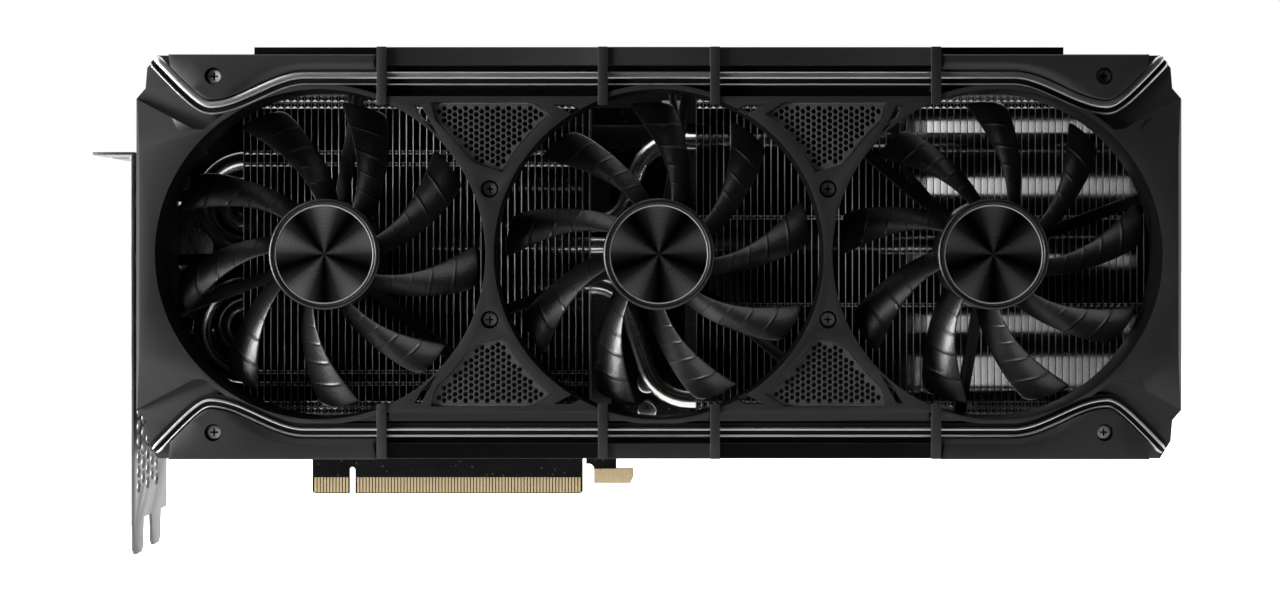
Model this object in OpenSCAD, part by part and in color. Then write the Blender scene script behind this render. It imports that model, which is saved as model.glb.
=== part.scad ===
// Desktop graphics card with three fans, standing upright on its contact edge.
// X runs along the card away from the bracket, Y runs from the fans to the back, Z is up.
// Origin: centre of the key notch, mid-plane of the board, bottom edge of the contact tongue.

/* [Shroud] */
// Length of the shroud from end to end
shroud_length = 305.2; // [304:0.2:306]
// Height of the shroud
shroud_height = 121; // [120.5:0.25:121.5]
// Distance from the board's mid-plane to the front face
front_depth = 52; // [51.5:0.25:53]
// Radius of each fan aperture
aperture_radius = 48; // [47.5:0.25:48]
// Width of the chrome trim strips
trim_width = 4; // [3.6:0.1:4]

/* [Fans] */
// Distance between neighbouring fan shafts
fan_pitch = 98.4; // [98.2:0.1:98.6]
// Number of blades on each impeller
blade_count = 9; // [7:1:11]
// Radius of the blade tips
blade_radius = 45; // [43:0.5:46]
// Radius of the hub
hub_radius = 16.4; // [16:0.1:16.8]
// Radius of the fan shaft
shaft_radius = 1.5; // [1.2:0.1:1.6]
// Radial clearance between shaft and bearing
bearing_clearance = 0.05; // [0.02:0.01:0.1]

/* [Heatsink] */
// Distance between neighbouring fins
fin_pitch = 2.05; // [1.9:0.05:2.3]
// Thickness of a fin
fin_thickness = 0.4; // [0.3:0.05:0.5]
// Radius of the heat pipes
pipe_radius = 3; // [2.8:0.1:3]

/* [Board] */
// Thickness of the circuit board
board_thickness = 1.57; // [1.5:0.01:1.6]
// Travel of the two-position slide switch
switch_travel = 2; // [1.5:0.25:2]

/* [Hidden] */

// Frame and levels along Y
mid_x = 97;
mid_z = 75.6;
front_y = -front_depth;
floor_y = front_y + 3.5;
floor_back_y = floor_y + 2;
ring_back_y = front_y + 16;
wall_back_y = -30;
end_wall_back_y = -7;
half_length = shroud_length / 2;
half_height = shroud_height / 2;
wall = 2.2;
fit_gap = 0.1;
rounded = 64;

// Fans: blade_starts turns each impeller to its rest angle
blade_starts = [-21.3, -3.8, -4.6];
fan_offsets = [-fan_pitch, 0, fan_pitch];
ring_overlap = 0.2;
ring_radius = fan_pitch / 2 + ring_overlap;
hub_front_y = -45.4;
hub_back_y = -35.2;
mount_front_y = -34.6;
mount_back_y = -32.4;
arm_reach = 52.3;
arm_angles = [[80, 200, 320], [80, 200, 320], [20, 140, 260]];

// Heatsink
fin_front_y = -28;
fin_back_y = -8.6;
fin_low_z = 27;
fin_high_z = 124;
pipe_y = -12;
left_stack_x = [-29, 77];
right_stack_x = [108, 244];
left_pipe_z = [38.2, 47.6, 59.4, 66, 78.3, 85.2, 97, 104.7];
right_pipe_z = [30.8, 78.3, 110.5];
pipe_end_x = 243;
pipe_turn_x = -31;

// Board
board_back_y = board_thickness / 2;
board_front_y = -board_thickness / 2;
board_left_x = -57;
board_right_x = 171;
board_low_z = 12.8;
board_high_z = 122;
gpu_x = 42;
gpu_z = 72;
backplate_front_y = 3;
backplate_back_y = 4.6;
bracket_x = -59.05;
bracket_thickness = 0.86;

// ---- helpers ----

// Extrudes a shape drawn from the shroud's centre in X and Z
module face(y0, y1) {
    translate([mid_x, y1, mid_z]) rotate([90, 0, 0]) linear_extrude(y1 - y0) children();
}

// Extrudes a shape drawn in the card's own X and Z
module board_face(y0, y1) {
    translate([0, y1, 0]) rotate([90, 0, 0]) linear_extrude(y1 - y0) children();
}

// A box between two opposite corners
module box(low, high) {
    translate(low) cube(high - low);
}

// A cylinder along Y between two levels
module rod_y(x, z, y0, y1, r) {
    translate([x, y1, z]) rotate([90, 0, 0]) cylinder(h = y1 - y0, r = r, $fn = rounded);
}

module both_sides() {
    children();
    mirror([1, 0, 0]) children();
}

module four_corners() {
    both_sides() children();
    mirror([0, 1, 0]) both_sides() children();
}

// Copies of a solid in the four quarters of the X-Z plane
module all_quarters() {
    both_sides() children();
    mirror([0, 0, 1]) both_sides() children();
}

// A closed outline from a top-right corner and a bottom-right corner given upwards, both repeated at the left
function mirrored_outline(top, bottom) = concat(
    top,
    [for (i = [len(top) - 1:-1:0]) [-top[i][0], top[i][1]]],
    [for (p = bottom) [-p[0], -p[1]]],
    [for (i = [len(bottom) - 1:-1:0]) [bottom[i][0], -bottom[i][1]]]
);

// ---- trim strip path, measured from the shroud's centre ----

valley_u = 130.5;
valley_v = 42.7;
level_v = 51.2;
level_u = 103;
trim_end_u = 146.6;
valley_softness = 5;
valley_slope = 1.1;
trim_steps = 18;

function smooth(t) = t * t * (3 - 2 * t);
function trim_v(u) = u > valley_u
    ? valley_v - valley_softness + sqrt(pow(valley_softness, 2) + pow(valley_slope * (u - valley_u), 2))
    : valley_v + (level_v - valley_v) * smooth((valley_u - u) / (valley_u - level_u));
function trim_slope(u) = (trim_v(u + 0.05) - trim_v(u - 0.05)) / 0.1;
function trim_point(u, side) =
    let (s = trim_slope(u), n = sqrt(1 + s * s))
    [u - side * s / n, trim_v(u) + side / n];
function trim_edge(side, end_u = trim_end_u) = [
    for (i = [0:trim_steps]) trim_point(end_u - i * (end_u - level_u - 0.1) / trim_steps, side)
];

// The strip's outline between two offsets from its centre line
module trim_outline(low, high) {
    upper = trim_edge(high);
    lower = trim_edge(low);
    last = trim_steps;
    polygon(concat(
        upper,
        [for (i = [last:-1:0]) [-upper[i][0], upper[i][1]]],
        [for (i = [0:last]) [-lower[i][0], lower[i][1]]],
        [for (i = [last:-1:0]) lower[i]]
    ));
}

// ---- shroud ----

shoulder_u = 118.2;
corner_v = half_height - 2.4;
bottom_v = half_height - 0.9;
end_points = [
    [half_length, half_height - 15],
    [half_length - 2.6, half_height - 12],
    [half_length - 3.1, half_height - 6]
];
top_corner = concat(end_points, [[half_length - 6.2, corner_v], [shoulder_u, corner_v], [shoulder_u, half_height]]);
bottom_corner = concat(end_points, [[half_length - 6.2, bottom_v], [shoulder_u, bottom_v]]);
rib_inner_u = [14.9, 17.7];
rib_outer_u = [79.1, 81.9];
face_top_v = 45.9;
screw_head_radius = 2.3;
recess_radius = 2.6;
waist_screw = [49.2, 19];
corner_screw = [129.5, 51.8];

module shroud_outline() {
    polygon(mirrored_outline(top_corner, bottom_corner));
}

module aperture_discs(r) {
    for (u = fan_offsets) translate([u, 0]) circle(r = r, $fn = rounded);
}

// Raised front surface of one end, up to the groove below the trim strip
module end_face_outline() {
    groove = [[half_length, 45.4], [135.2, 36.4], [128.5, 36]];
    polygon(concat(
        groove,
        [[fan_pitch, 36], [fan_pitch, -36]],
        [for (i = [2:-1:0]) [groove[i][0], -groove[i][1]]]
    ));
}

module insert_outline(gap) {
    difference() {
        polygon([[66.3, 44.2], [36.3, 44.2], [30.7, 40.6], [45, 23.6], [53.9, 26.6], [64.6, 37.6]]);
        translate([fan_pitch, 0]) circle(r = 51.2 + gap, $fn = rounded);
        circle(r = 51.2 + gap, $fn = rounded);
    }
}

module side_slots() {
    polygon([[71, 43.3], [69.1, 43.3], [64.2, 34.5], [69.1, 39.6]]);
    polygon([[30.6, 43.5], [25.1, 43.5], [22.4, 41.9], [25.1, 40.6]]);
}

module face_outline() {
    difference() {
        union() {
            aperture_discs(ring_radius);
            square([2 * rib_outer_u[1], 2 * face_top_v], center = true);
            both_sides() end_face_outline();
        }
        aperture_discs(aperture_radius);
        four_corners() insert_outline(0);
        four_corners() side_slots();
        four_corners() translate(waist_screw) circle(r = recess_radius, $fn = rounded);
        trim_outline(-trim_width / 2 - fit_gap, trim_width / 2 + fit_gap);
        mirror([0, 1]) trim_outline(-trim_width / 2 - fit_gap, trim_width / 2 + fit_gap);
    }
}

module floor_outline() {
    difference() {
        shroud_outline();
        aperture_discs(aperture_radius);
        four_corners() side_slots();
        four_corners() translate(waist_screw) circle(r = 1.3, $fn = rounded);
        four_corners() translate(corner_screw) circle(r = 1.3, $fn = rounded);
    }
}

module wall_outline() {
    inset = [wall, wall];
    difference() {
        shroud_outline();
        polygon(mirrored_outline([for (p = top_corner) p - inset], [for (p = bottom_corner) p - inset]));
    }
}

// Places a copy at every motor arm's outer end
module at_arm_ends() {
    for (f = [0:2], a = arm_angles[f])
        translate([fan_offsets[f] + arm_reach * cos(a), arm_reach * sin(a)]) children();
}

module front_shroud() {
    chamfer = 1.5;
    facet_tilt = 9;
    color([0.09, 0.09, 0.1]) difference() {
        union() {
            face(front_y, floor_y) face_outline();
            face(floor_y, floor_back_y) floor_outline();
            face(floor_back_y, wall_back_y) wall_outline();
            face(wall_back_y, end_wall_back_y) intersection() {
                wall_outline();
                both_sides() translate([120, -70]) square([40, 140]);
            }
            face(floor_back_y, ring_back_y) difference() {
                aperture_discs(ring_radius);
                aperture_discs(aperture_radius);
            }
            face(floor_back_y, mount_front_y) intersection() {
                difference() {
                    at_arm_ends() circle(r = 2.5, $fn = rounded);
                    at_arm_ends() circle(r = 0.8, $fn = rounded);
                    aperture_discs(aperture_radius + 0.6);
                }
                shroud_outline();
            }
        }
        // Bevel along each end
        translate([mid_x, 0, mid_z]) both_sides() translate([half_length + 0.01, front_y - 0.01, 0])
            rotate([0, 0, -27]) cube([2 * chamfer, 6, 2 * half_height], center = true);
        // Sloping facets that run into the corners
        translate([mid_x, 0, mid_z]) all_quarters() translate([150, front_y, 30.8])
            rotate([0, 25, 0]) rotate([-facet_tilt, 0, 0]) translate([-11.5, -6, 0]) cube([40, 6, 30]);
    }
}

module corner_plate(top_v) {
    gap = 0.3;
    low = trim_edge(trim_width / 2 + gap, trim_end_u - 2);
    level_low = low[trim_steps][1];
    color([0.1, 0.1, 0.11]) face(front_y, floor_y) difference() {
        polygon(concat(
            [[trim_end_u - 2.2, top_v]],
            [for (p = low) if (p[1] < top_v - 0.6) p],
            [[rib_outer_u[1] + 0.2, level_low], [rib_outer_u[1] + 0.2, top_v]]
        ));
        translate(corner_screw) circle(r = recess_radius, $fn = rounded);
    }
}

module corner_plate_top_right() {
    corner_plate(corner_v);
}

module corner_plate_top_left() {
    translate([2 * mid_x, 0, 0]) mirror([1, 0, 0]) corner_plate(corner_v);
}

module corner_plate_bottom_right() {
    translate([0, 0, 2 * mid_z]) mirror([0, 0, 1]) corner_plate(bottom_v);
}

module corner_plate_bottom_left() {
    translate([2 * mid_x, 0, 0]) mirror([1, 0, 0]) corner_plate_bottom_right();
}

module top_trim_strip() {
    half = trim_width / 2;
    color([0.35, 0.36, 0.38]) {
        face(floor_y - 1.4, floor_y) trim_outline(-half, half);
        face(floor_y - 2.4, floor_y - 1.4) trim_outline(-0.1, half);
        face(floor_y - 2, floor_y - 1.4) trim_outline(-half, -half + 0.8);
    }
}

module bottom_trim_strip() {
    translate([0, 0, 2 * mid_z]) mirror([0, 0, 1]) top_trim_strip();
}

// Four ribs that cross a trim strip, joined by plates along the shroud's edge
module cross_frame(top_v) {
    rib_front_y = front_y - 0.6;
    plate_low_v = 55;
    rib_foot_v = 47.4;
    color([0.08, 0.08, 0.09]) {
        face(rib_front_y, front_y) both_sides() for (u = [rib_inner_u, rib_outer_u])
            translate([u[0], 43.4]) square([u[1] - u[0], rib_foot_v - 43.3]);
        face(rib_front_y, floor_y - 2.7) both_sides() for (u = [rib_inner_u, rib_outer_u])
            translate([u[0], rib_foot_v]) square([u[1] - u[0], top_v - rib_foot_v]);
        face(floor_y - 2.7, floor_y) both_sides() for (u = [rib_inner_u, rib_outer_u]) {
            translate([u[0], plate_low_v]) square([u[1] - u[0], top_v - plate_low_v]);
            translate([u[0], rib_foot_v]) square([u[1] - u[0], 1.4]);
        }
        face(front_y + 1, floor_y) both_sides()
            translate([rib_inner_u[1], plate_low_v]) square([rib_outer_u[0] - rib_inner_u[1], top_v - plate_low_v]);
        face(front_y + 0.4, floor_y)
            translate([-rib_inner_u[0], plate_low_v]) square([2 * rib_inner_u[0], top_v - plate_low_v]);
    }
}

module top_cross_frame() {
    cross_frame(half_height - 0.2);
}

module bottom_cross_frame() {
    translate([0, 0, 2 * mid_z]) mirror([0, 0, 1]) cross_frame(bottom_v - 0.2);
}

// Two inserts with a raised rim, one each side of the middle fan
module mesh_inserts_upper() {
    color([0.12, 0.12, 0.13]) face(front_y + 1.2, floor_y) both_sides() insert_outline(fit_gap);
}

module mesh_inserts_lower() {
    translate([0, 0, 2 * mid_z]) mirror([0, 0, 1]) mesh_inserts_upper();
}

// A cross-head screw along Y, with its head's front at the given level
module cross_screw(x, z, head_y, tip_y, head_r = screw_head_radius, shank_r = 1.25) {
    head_depth = 1.4;
    slot = 0.55;
    difference() {
        union() {
            rod_y(x, z, head_y, head_y + head_depth, head_r);
            rod_y(x, z, head_y + head_depth, tip_y, shank_r);
        }
        for (turn = [0, 90])
            translate([x, head_y, z]) rotate([0, turn, 0]) cube([2.4, 1.2, slot], center = true);
    }
}

module shroud_screws() {
    color([0.2, 0.2, 0.21]) for (su = [-1, 1], sv = [-1, 1]) {
        cross_screw(mid_x + su * waist_screw[0], mid_z + sv * waist_screw[1], floor_y - 1.4, floor_back_y);
        cross_screw(mid_x + su * corner_screw[0], mid_z + sv * corner_screw[1], floor_y - 1.4, floor_back_y);
    }
}

// ---- fans ----

cup_wall = 1.2;
cup_top = 1.8;
disc_radius = 14.7;
disc_recess = 0.5;
bearing_radius = 2.9;
boss_radius = 4.2;
blade_root_radius = hub_radius - 0.5;
blade_front_y = -45.9;
blade_depth = 9.2;
blade_rings = 10;
blade_columns = 5;

module at_fan(f) {
    translate([mid_x + fan_offsets[f], 0, mid_z]) children();
}

// Leading and trailing edge angles of a blade at share t of its span
function lead_angle(t) = 26 * t + 3 * t * t - 4 * pow(t, 4);
function trail_angle(t) = -19 + 38.5 * t - 13 * t * t + 2.5 * pow(t, 8);
function blade_half(t) = 0.95 - 0.5 * t;

// A point on the blade: t along the span, c from the leading to the trailing edge, side is front or back
function blade_point(t, c, side) =
    let (
        rounding = t > 0.95 ? 0.14 : 0,
        share = rounding / 2 + c * (1 - rounding),
        r = blade_root_radius + t * (blade_radius - blade_root_radius),
        angle = lead_angle(t) + share * (trail_angle(t) - lead_angle(t)),
        root_depth = blade_depth * (1 - 0.25 * t),
        crown = 0.9 * sin(180 * c) * (0.4 + 0.6 * t),
        half = blade_half(t) * (0.35 + 0.65 * sin(180 * c)),
        y = blade_front_y + 0.9 + 0.6 * t + root_depth * share - crown + side * half
    )
    [r * cos(angle), y, r * sin(angle)];

// One closed blade skin: a front sheet, a back sheet and the rim between them
module blade() {
    across = blade_columns + 1;
    sheet = (blade_rings + 1) * across;
    points = [
        for (side = [-1, 1], i = [0:blade_rings], j = [0:blade_columns])
            blade_point(i / blade_rings, j / blade_columns, side)
    ];
    function at(side, i, j) = side * sheet + i * across + j;
    sheets = [
        for (side = [0, 1], i = [0:blade_rings - 1], j = [0:blade_columns - 1], half = [0, 1])
            let (
                a = at(side, i, j),
                b = at(side, i, j + 1),
                c = at(side, i + 1, j + 1),
                d = at(side, i + 1, j),
                face = half == 0 ? [a, b, c] : [a, c, d]
            )
            side == 0 ? face : [face[2], face[1], face[0]]
    ];
    rims = [
        for (i = [0:blade_rings - 1], end = [0, 1], half = [0, 1])
            let (
                j = end * blade_columns,
                a = at(0, i, j),
                b = at(0, i + 1, j),
                c = at(1, i + 1, j),
                d = at(1, i, j),
                face = half == 0 ? [a, b, c] : [a, c, d]
            )
            end == 0 ? face : [face[2], face[1], face[0]]
    ];
    ends = [
        for (j = [0:blade_columns - 1], end = [0, 1], half = [0, 1])
            let (
                i = end * blade_rings,
                a = at(0, i, j),
                b = at(0, i, j + 1),
                c = at(1, i, j + 1),
                d = at(1, i, j),
                face = half == 0 ? [a, c, b] : [a, d, c]
            )
            end == 0 ? face : [face[2], face[1], face[0]]
    ];
    polyhedron(points = points, faces = [for (f = concat(sheets, rims, ends)) [f[2], f[1], f[0]]]);
}

module impeller(f, start_angle) {
    inner = hub_radius - cup_wall;
    color([0.05, 0.05, 0.06]) at_fan(f) {
        difference() {
            rod_y(0, 0, hub_front_y, hub_back_y, hub_radius);
            rod_y(0, 0, hub_front_y - 1, hub_front_y + disc_recess, disc_radius);
            difference() {
                rod_y(0, 0, hub_front_y + cup_top, hub_back_y + 1, inner);
                rod_y(0, 0, hub_front_y + cup_top - 1, hub_front_y + cup_top + 0.8, 3);
            }
            rod_y(0, 0, hub_front_y + 1, hub_front_y + cup_top + 2, shaft_radius);
        }
        difference() {
            for (k = [0:blade_count - 1])
                rotate([0, -start_angle - k * 360 / blade_count, 0]) blade();
            rod_y(0, 0, -60, -20, hub_radius - 0.15);
        }
    }
}

module hub_disc(f) {
    color([0.3, 0.3, 0.32]) at_fan(f)
        rod_y(0, 0, hub_front_y, hub_front_y + disc_recess, disc_radius - 0.05);
}

module fan_shaft(f) {
    color([0.75, 0.75, 0.77]) at_fan(f)
        rod_y(0, 0, hub_front_y + 1, mount_front_y + 1.4, shaft_radius);
}

module magnet_ring(f) {
    outer = hub_radius - cup_wall;
    color([0.18, 0.16, 0.15]) at_fan(f) difference() {
        rod_y(0, 0, hub_front_y + 3, hub_back_y - 0.4, outer);
        rod_y(0, 0, hub_front_y + 2, hub_back_y + 1, outer - 1.4);
    }
}

// Laminated core with six poles, each wound with a coil
module stator(f) {
    outer = hub_radius - cup_wall - 2;
    poles = 6;
    front = -41.8;
    back = -36.4;
    at_fan(f) {
        color([0.5, 0.5, 0.52]) board_face(front + 1, back - 1) difference() {
            union() {
                circle(r = 6.4, $fn = rounded);
                for (k = [0:poles - 1]) rotate(k * 360 / poles) translate([0, -1.2]) square([outer - 1, 2.4]);
                intersection() {
                    difference() {
                        circle(r = outer, $fn = rounded);
                        circle(r = outer - 1.3, $fn = rounded);
                    }
                    for (k = [0:poles - 1]) rotate(k * 360 / poles) polygon([[0, 0], [20, -8.4], [20, 8.4]]);
                }
            }
            circle(r = boss_radius, $fn = rounded);
        }
        color([0.72, 0.42, 0.2]) for (k = [0:poles - 1]) rotate([0, k * 360 / poles, 0]) difference() {
            box([7.2, front, -2.1], [outer - 2, back, 2.1]);
            box([7, front + 1, -1.2], [outer, back - 1, 1.2]);
        }
    }
}

module bearing(f) {
    color([0.7, 0.55, 0.3]) at_fan(f) difference() {
        rod_y(0, 0, -42, mount_front_y + 1.6, bearing_radius);
        rod_y(0, 0, -43, mount_front_y + 3, shaft_radius + bearing_clearance);
    }
}

// Motor plate with a bearing boss and three arms to the shroud
module motor_mount(f) {
    color([0.1, 0.1, 0.11]) at_fan(f) difference() {
        union() {
            board_face(mount_front_y, mount_back_y) intersection() {
                union() {
                    circle(r = hub_radius, $fn = rounded);
                    for (a = arm_angles[f]) rotate(a) {
                        translate([0, -1.7]) square([arm_reach, 3.4]);
                        translate([arm_reach, 0]) circle(r = 2.5, $fn = rounded);
                    }
                }
                translate([-fan_offsets[f], 0])
                    square([2 * (half_length - wall - 0.2), shroud_height], center = true);
            }
            rod_y(0, 0, -41.5, mount_front_y, boss_radius);
        }
        rod_y(0, 0, -43, mount_front_y + 1.6, bearing_radius);
        for (a = arm_angles[f])
            rod_y(arm_reach * cos(a), arm_reach * sin(a), -40, -30, 0.8);
    }
}

module motor_screws() {
    color([0.25, 0.25, 0.26]) for (f = [0:2]) at_fan(f) for (a = arm_angles[f]) {
        rod_y(arm_reach * cos(a), arm_reach * sin(a), mount_back_y, mount_back_y + 1.2, 1.7);
        rod_y(arm_reach * cos(a), arm_reach * sin(a), -40, mount_back_y, 0.75);
    }
}

// ---- fan leads: three short cords held along an arm and over the fins ----

lead_radius = 1.1;
lead_routes = [
    [[1.5, -31.2, 88], [3.5, -31.2, 98], [5, -31.2, 108], [5, -31, 117], [4, -30.2, 124],
     [4, -28.2, 128.6], [4, -25, 130.2], [4, -20, 130.4], [4, -15, 130.3], [4, -10, 129.6],
     [4, -6.5, 128], [4, -4.6, 126], [4, -4.6, 123.8]],
    [[100, -31.2, 88], [101.5, -31.2, 98], [102, -31.2, 108], [102, -31, 117], [101, -30.2, 124],
     [101, -28.2, 128.6], [101, -25, 130.2], [101, -20, 130.4], [101, -15, 130.3], [101, -10, 129.6],
     [101, -6.5, 128], [101, -4.6, 126], [101, -4.6, 123.8]],
    [[186, -31.2, 86], [178, -31.2, 93], [171, -31.2, 101], [168, -31.2, 109], [168, -31, 117],
     [168, -30.2, 124], [168, -28.2, 128.6], [168, -25, 130.2], [168, -20, 130.4], [168, -15, 130.3],
     [168, -10, 129.6], [168, -6.5, 128], [168, -4.6, 126], [168, -4.6, 123.8]]
];
header_x = [4, 101, 168];

function unit(v) = v / norm(v);
function tangent_at(route, i) =
    unit(route[min(i + 1, len(route) - 1)] - route[max(i - 1, 0)]);

// A tube swept along a route, each ring set square to the route by a reference direction
module tube(route, r, sides, reference) {
    rings = len(route);
    points = [
        for (i = [0:rings - 1])
            let (
                t = tangent_at(route, i),
                a = unit(cross(t, reference)),
                b = cross(t, a)
            )
            for (k = [0:sides - 1])
                route[i] + r * (cos(k * 360 / sides) * a + sin(k * 360 / sides) * b)
    ];
    skin = [
        for (i = [0:rings - 2], k = [0:sides - 1])
            let (n = (k + 1) % sides)
            [i * sides + k, (i + 1) * sides + k, (i + 1) * sides + n, i * sides + n]
    ];
    first = [for (k = [0:sides - 1]) k];
    last = [for (k = [sides - 1:-1:0]) (rings - 1) * sides + k];
    polyhedron(points = points, faces = concat(skin, [first], [last]));
}

module fan_leads() {
    color([0.06, 0.06, 0.06]) for (route = lead_routes) tube(route, lead_radius, 8, [1, 0.2, 0]);
}

module fan_headers() {
    color([0.85, 0.85, 0.8]) for (x = header_x)
        box([x - 3, -6.5, 117], [x + 3, board_front_y, 123.8]);
}

// ---- heatsink ----

// Fins with pipe holes, tied together by folded strips at their top and bottom edges
module fin_stack(span, pipe_z, deep_from_x = 1000) {
    count = floor((span[1] - span[0] - fin_thickness) / fin_pitch);
    strip = 0.4;
    color([0.75, 0.76, 0.78]) {
        for (i = [0:count]) {
            x = span[0] + i * fin_pitch;
            back = x > deep_from_x ? 0 : fin_back_y;
            translate([x, 0, 0]) rotate([90, 0, 90]) linear_extrude(fin_thickness) difference() {
                translate([fin_front_y, fin_low_z]) square([back - fin_front_y, fin_high_z - fin_low_z]);
                // Room for the power sockets
                if (back < 0) translate([-14.5, 115.5]) square([20, 20]);
                for (z = pipe_z) translate([pipe_y, z]) circle(r = pipe_radius + 0.05, $fn = rounded);
            }
        }
        last_x = span[0] + count * fin_pitch + fin_thickness;
        for (z = [fin_low_z, fin_high_z - 3])
            box([span[0], fin_front_y, z], [last_x, fin_front_y + strip, z + 3]);
        for (z = [fin_low_z, 111.5])
            box([span[0], fin_back_y - strip, z], [last_x, fin_back_y, z + 3]);
    }
}

module fin_stack_left() {
    fin_stack(left_stack_x, left_pipe_z);
}

module fin_stack_right() {
    fin_stack(right_stack_x, right_pipe_z, 176);
}

module pipe_straight(x0, x1, z) {
    translate([x0, pipe_y, z]) rotate([0, 90, 0]) cylinder(h = x1 - x0, r = pipe_radius, $fn = rounded);
}

module pipe_turn(low_z, high_z) {
    translate([pipe_turn_x, pipe_y, (low_z + high_z) / 2]) rotate([90, 0, 0]) rotate([0, 0, 90])
        rotate_extrude(angle = 180, $fn = rounded)
            translate([(high_z - low_z) / 2, 0]) circle(r = pipe_radius, $fn = rounded);
}

// Points of an arc about a centre, after its start
function arc_route(x, z, r, start, sweep, steps) = [
    for (i = [1:steps])
        let (a = start + i * sweep / steps)
        [x + r * cos(a), pipe_y, z + r * sin(a)]
];

// A pipe that leaves the cold plate, turns back at the bracket end, and steps to a new level between the stacks
module stepped_pipe(end_z, turn_z, level_z) {
    way = sign(level_z - turn_z);
    turn_way = sign(end_z - turn_z);
    bend = 72;
    first_r = 11;
    second_r = 14;
    drop = abs(level_z - turn_z) - (first_r + second_r) * (1 - cos(bend));
    x0 = 77;
    x1 = x0 + first_r * sin(bend) + drop / tan(bend);
    low_z = level_z - way * second_r * (1 - cos(bend));
    route = concat(
        [[74, pipe_y, end_z], [pipe_turn_x, pipe_y, end_z]],
        arc_route(pipe_turn_x, (end_z + turn_z) / 2, abs(end_z - turn_z) / 2, turn_way * 90, turn_way * 180, 14),
        [[x0, pipe_y, turn_z]],
        arc_route(x0, turn_z + way * first_r, first_r, -way * 90, way * bend, 7),
        [[x1, pipe_y, low_z]],
        arc_route(x1 + second_r * sin(bend), level_z - way * second_r, second_r, way * (90 + bend), -way * bend, 7),
        [[pipe_end_x, pipe_y, level_z]]
    );
    tube(route, pipe_radius, 24, [0, 1, 0]);
}

module heat_pipes_lower() {
    color([0.78, 0.77, 0.75]) {
        for (z = [left_pipe_z[1], left_pipe_z[2]]) pipe_straight(pipe_turn_x, 74, z);
        pipe_turn(left_pipe_z[1], left_pipe_z[2]);
        stepped_pipe(left_pipe_z[0], left_pipe_z[3], right_pipe_z[0]);
    }
}

module heat_pipes_upper() {
    color([0.78, 0.77, 0.75]) {
        pipe_straight(pipe_turn_x, 74, left_pipe_z[7]);
        pipe_turn(left_pipe_z[4], left_pipe_z[7]);
        pipe_straight(pipe_turn_x, pipe_end_x, left_pipe_z[4]);
        stepped_pipe(left_pipe_z[6], left_pipe_z[5], right_pipe_z[2]);
    }
}

plate_low = [gpu_x - 26, gpu_z - 28];
plate_high = [gpu_x + 26, gpu_z + 28];
plate_back_y = -3.6;
frame_back_y = -6.8;

module cold_plate() {
    color([0.8, 0.6, 0.45])
        box([plate_low[0], fin_back_y, plate_low[1]], [plate_high[0], plate_back_y, plate_high[1]]);
}

// Memory chips: a column on each side of the processor, and a row above and below it
chip_size = [14, 12];
chip_places = concat(
    [for (x = [10, 74], k = [-1.5:1:1.5]) [x, gpu_z + k * 14.5, 90]],
    [for (z = [gpu_z - 34, gpu_z + 34], k = [-1, 1]) [gpu_x + k * 10, z, 0]]
);

module at_chips(y0, y1, shrink) {
    for (c = chip_places)
        board_face(y0, y1) translate([c[0], c[1]]) rotate(c[2]) square(chip_size - [shrink, shrink], center = true);
}

// Thin plate under both stacks, with lands that press on the memory pads
module heatsink_frame() {
    color([0.55, 0.56, 0.58]) {
        board_face(fin_back_y, frame_back_y) difference() {
            translate([-28, 29]) square([193, 87]);
            translate(plate_low - [0.2, 0.2]) square(plate_high - plate_low + [0.4, 0.4]);
            translate([82, 20]) square([23, 89]);
        }
        for (x = [4, 68.6]) box([x, frame_back_y, 44], [x + 11.4, plate_back_y, 100]);
        for (z = [32, 100.6]) box([25, frame_back_y, z], [59, plate_back_y, z + 11.4]);
    }
}

module thermal_pads() {
    color([0.55, 0.6, 0.62]) at_chips(plate_back_y, -2, 1);
}

// ---- board ----

tongue_left_x = -12.6;
tongue_right_x = 72.85;
notch_half = 0.95;
hook_x = [76.5, 88.9];
hook_z = [3.3, 7.9];
rear_screw_places = [[-48, 15.6], [-48, 116], [98, 17], [98, 112], [165, 17], [165, 100]];
spring_screw_places = [for (sx = [-1, 1], sz = [-1, 1]) [gpu_x + sx * 21, gpu_z + sz * 24]];

module board_outline() {
    difference() {
        union() {
            translate([board_left_x, board_low_z])
                square([board_right_x - board_left_x, board_high_z - board_low_z]);
            polygon([
                [tongue_left_x + 0.7, 0], [tongue_right_x - 0.7, 0], [tongue_right_x, 0.7],
                [tongue_right_x, 14], [tongue_left_x, 14], [tongue_left_x, 0.7]
            ]);
            translate([74, 7.9]) square([9.5, 6]);
            translate([hook_x[0], hook_z[0]]) square([7, 14 - hook_z[0]]);
            polygon([
                [hook_x[0], hook_z[0]], [hook_x[1] - 1, hook_z[0]], [hook_x[1], 5.4],
                [hook_x[1], hook_z[1]], [hook_x[0], hook_z[1]]
            ]);
        }
        translate([-notch_half, -1]) square([2 * notch_half, 8.4]);
        translate([0, 7.4]) circle(r = notch_half, $fn = rounded);
        translate([tongue_right_x, -1]) square([hook_x[0] - tongue_right_x, 8.6]);
        translate([(tongue_right_x + hook_x[0]) / 2, 7.6])
            circle(r = (hook_x[0] - tongue_right_x) / 2, $fn = rounded);
        for (p = rear_screw_places) translate(p) circle(r = 1.7, $fn = rounded);
        for (p = spring_screw_places) translate(p) circle(r = 1.7, $fn = rounded);
    }
}

module circuit_board() {
    color([0.05, 0.06, 0.06]) board_face(board_front_y, board_back_y) board_outline();
}

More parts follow.
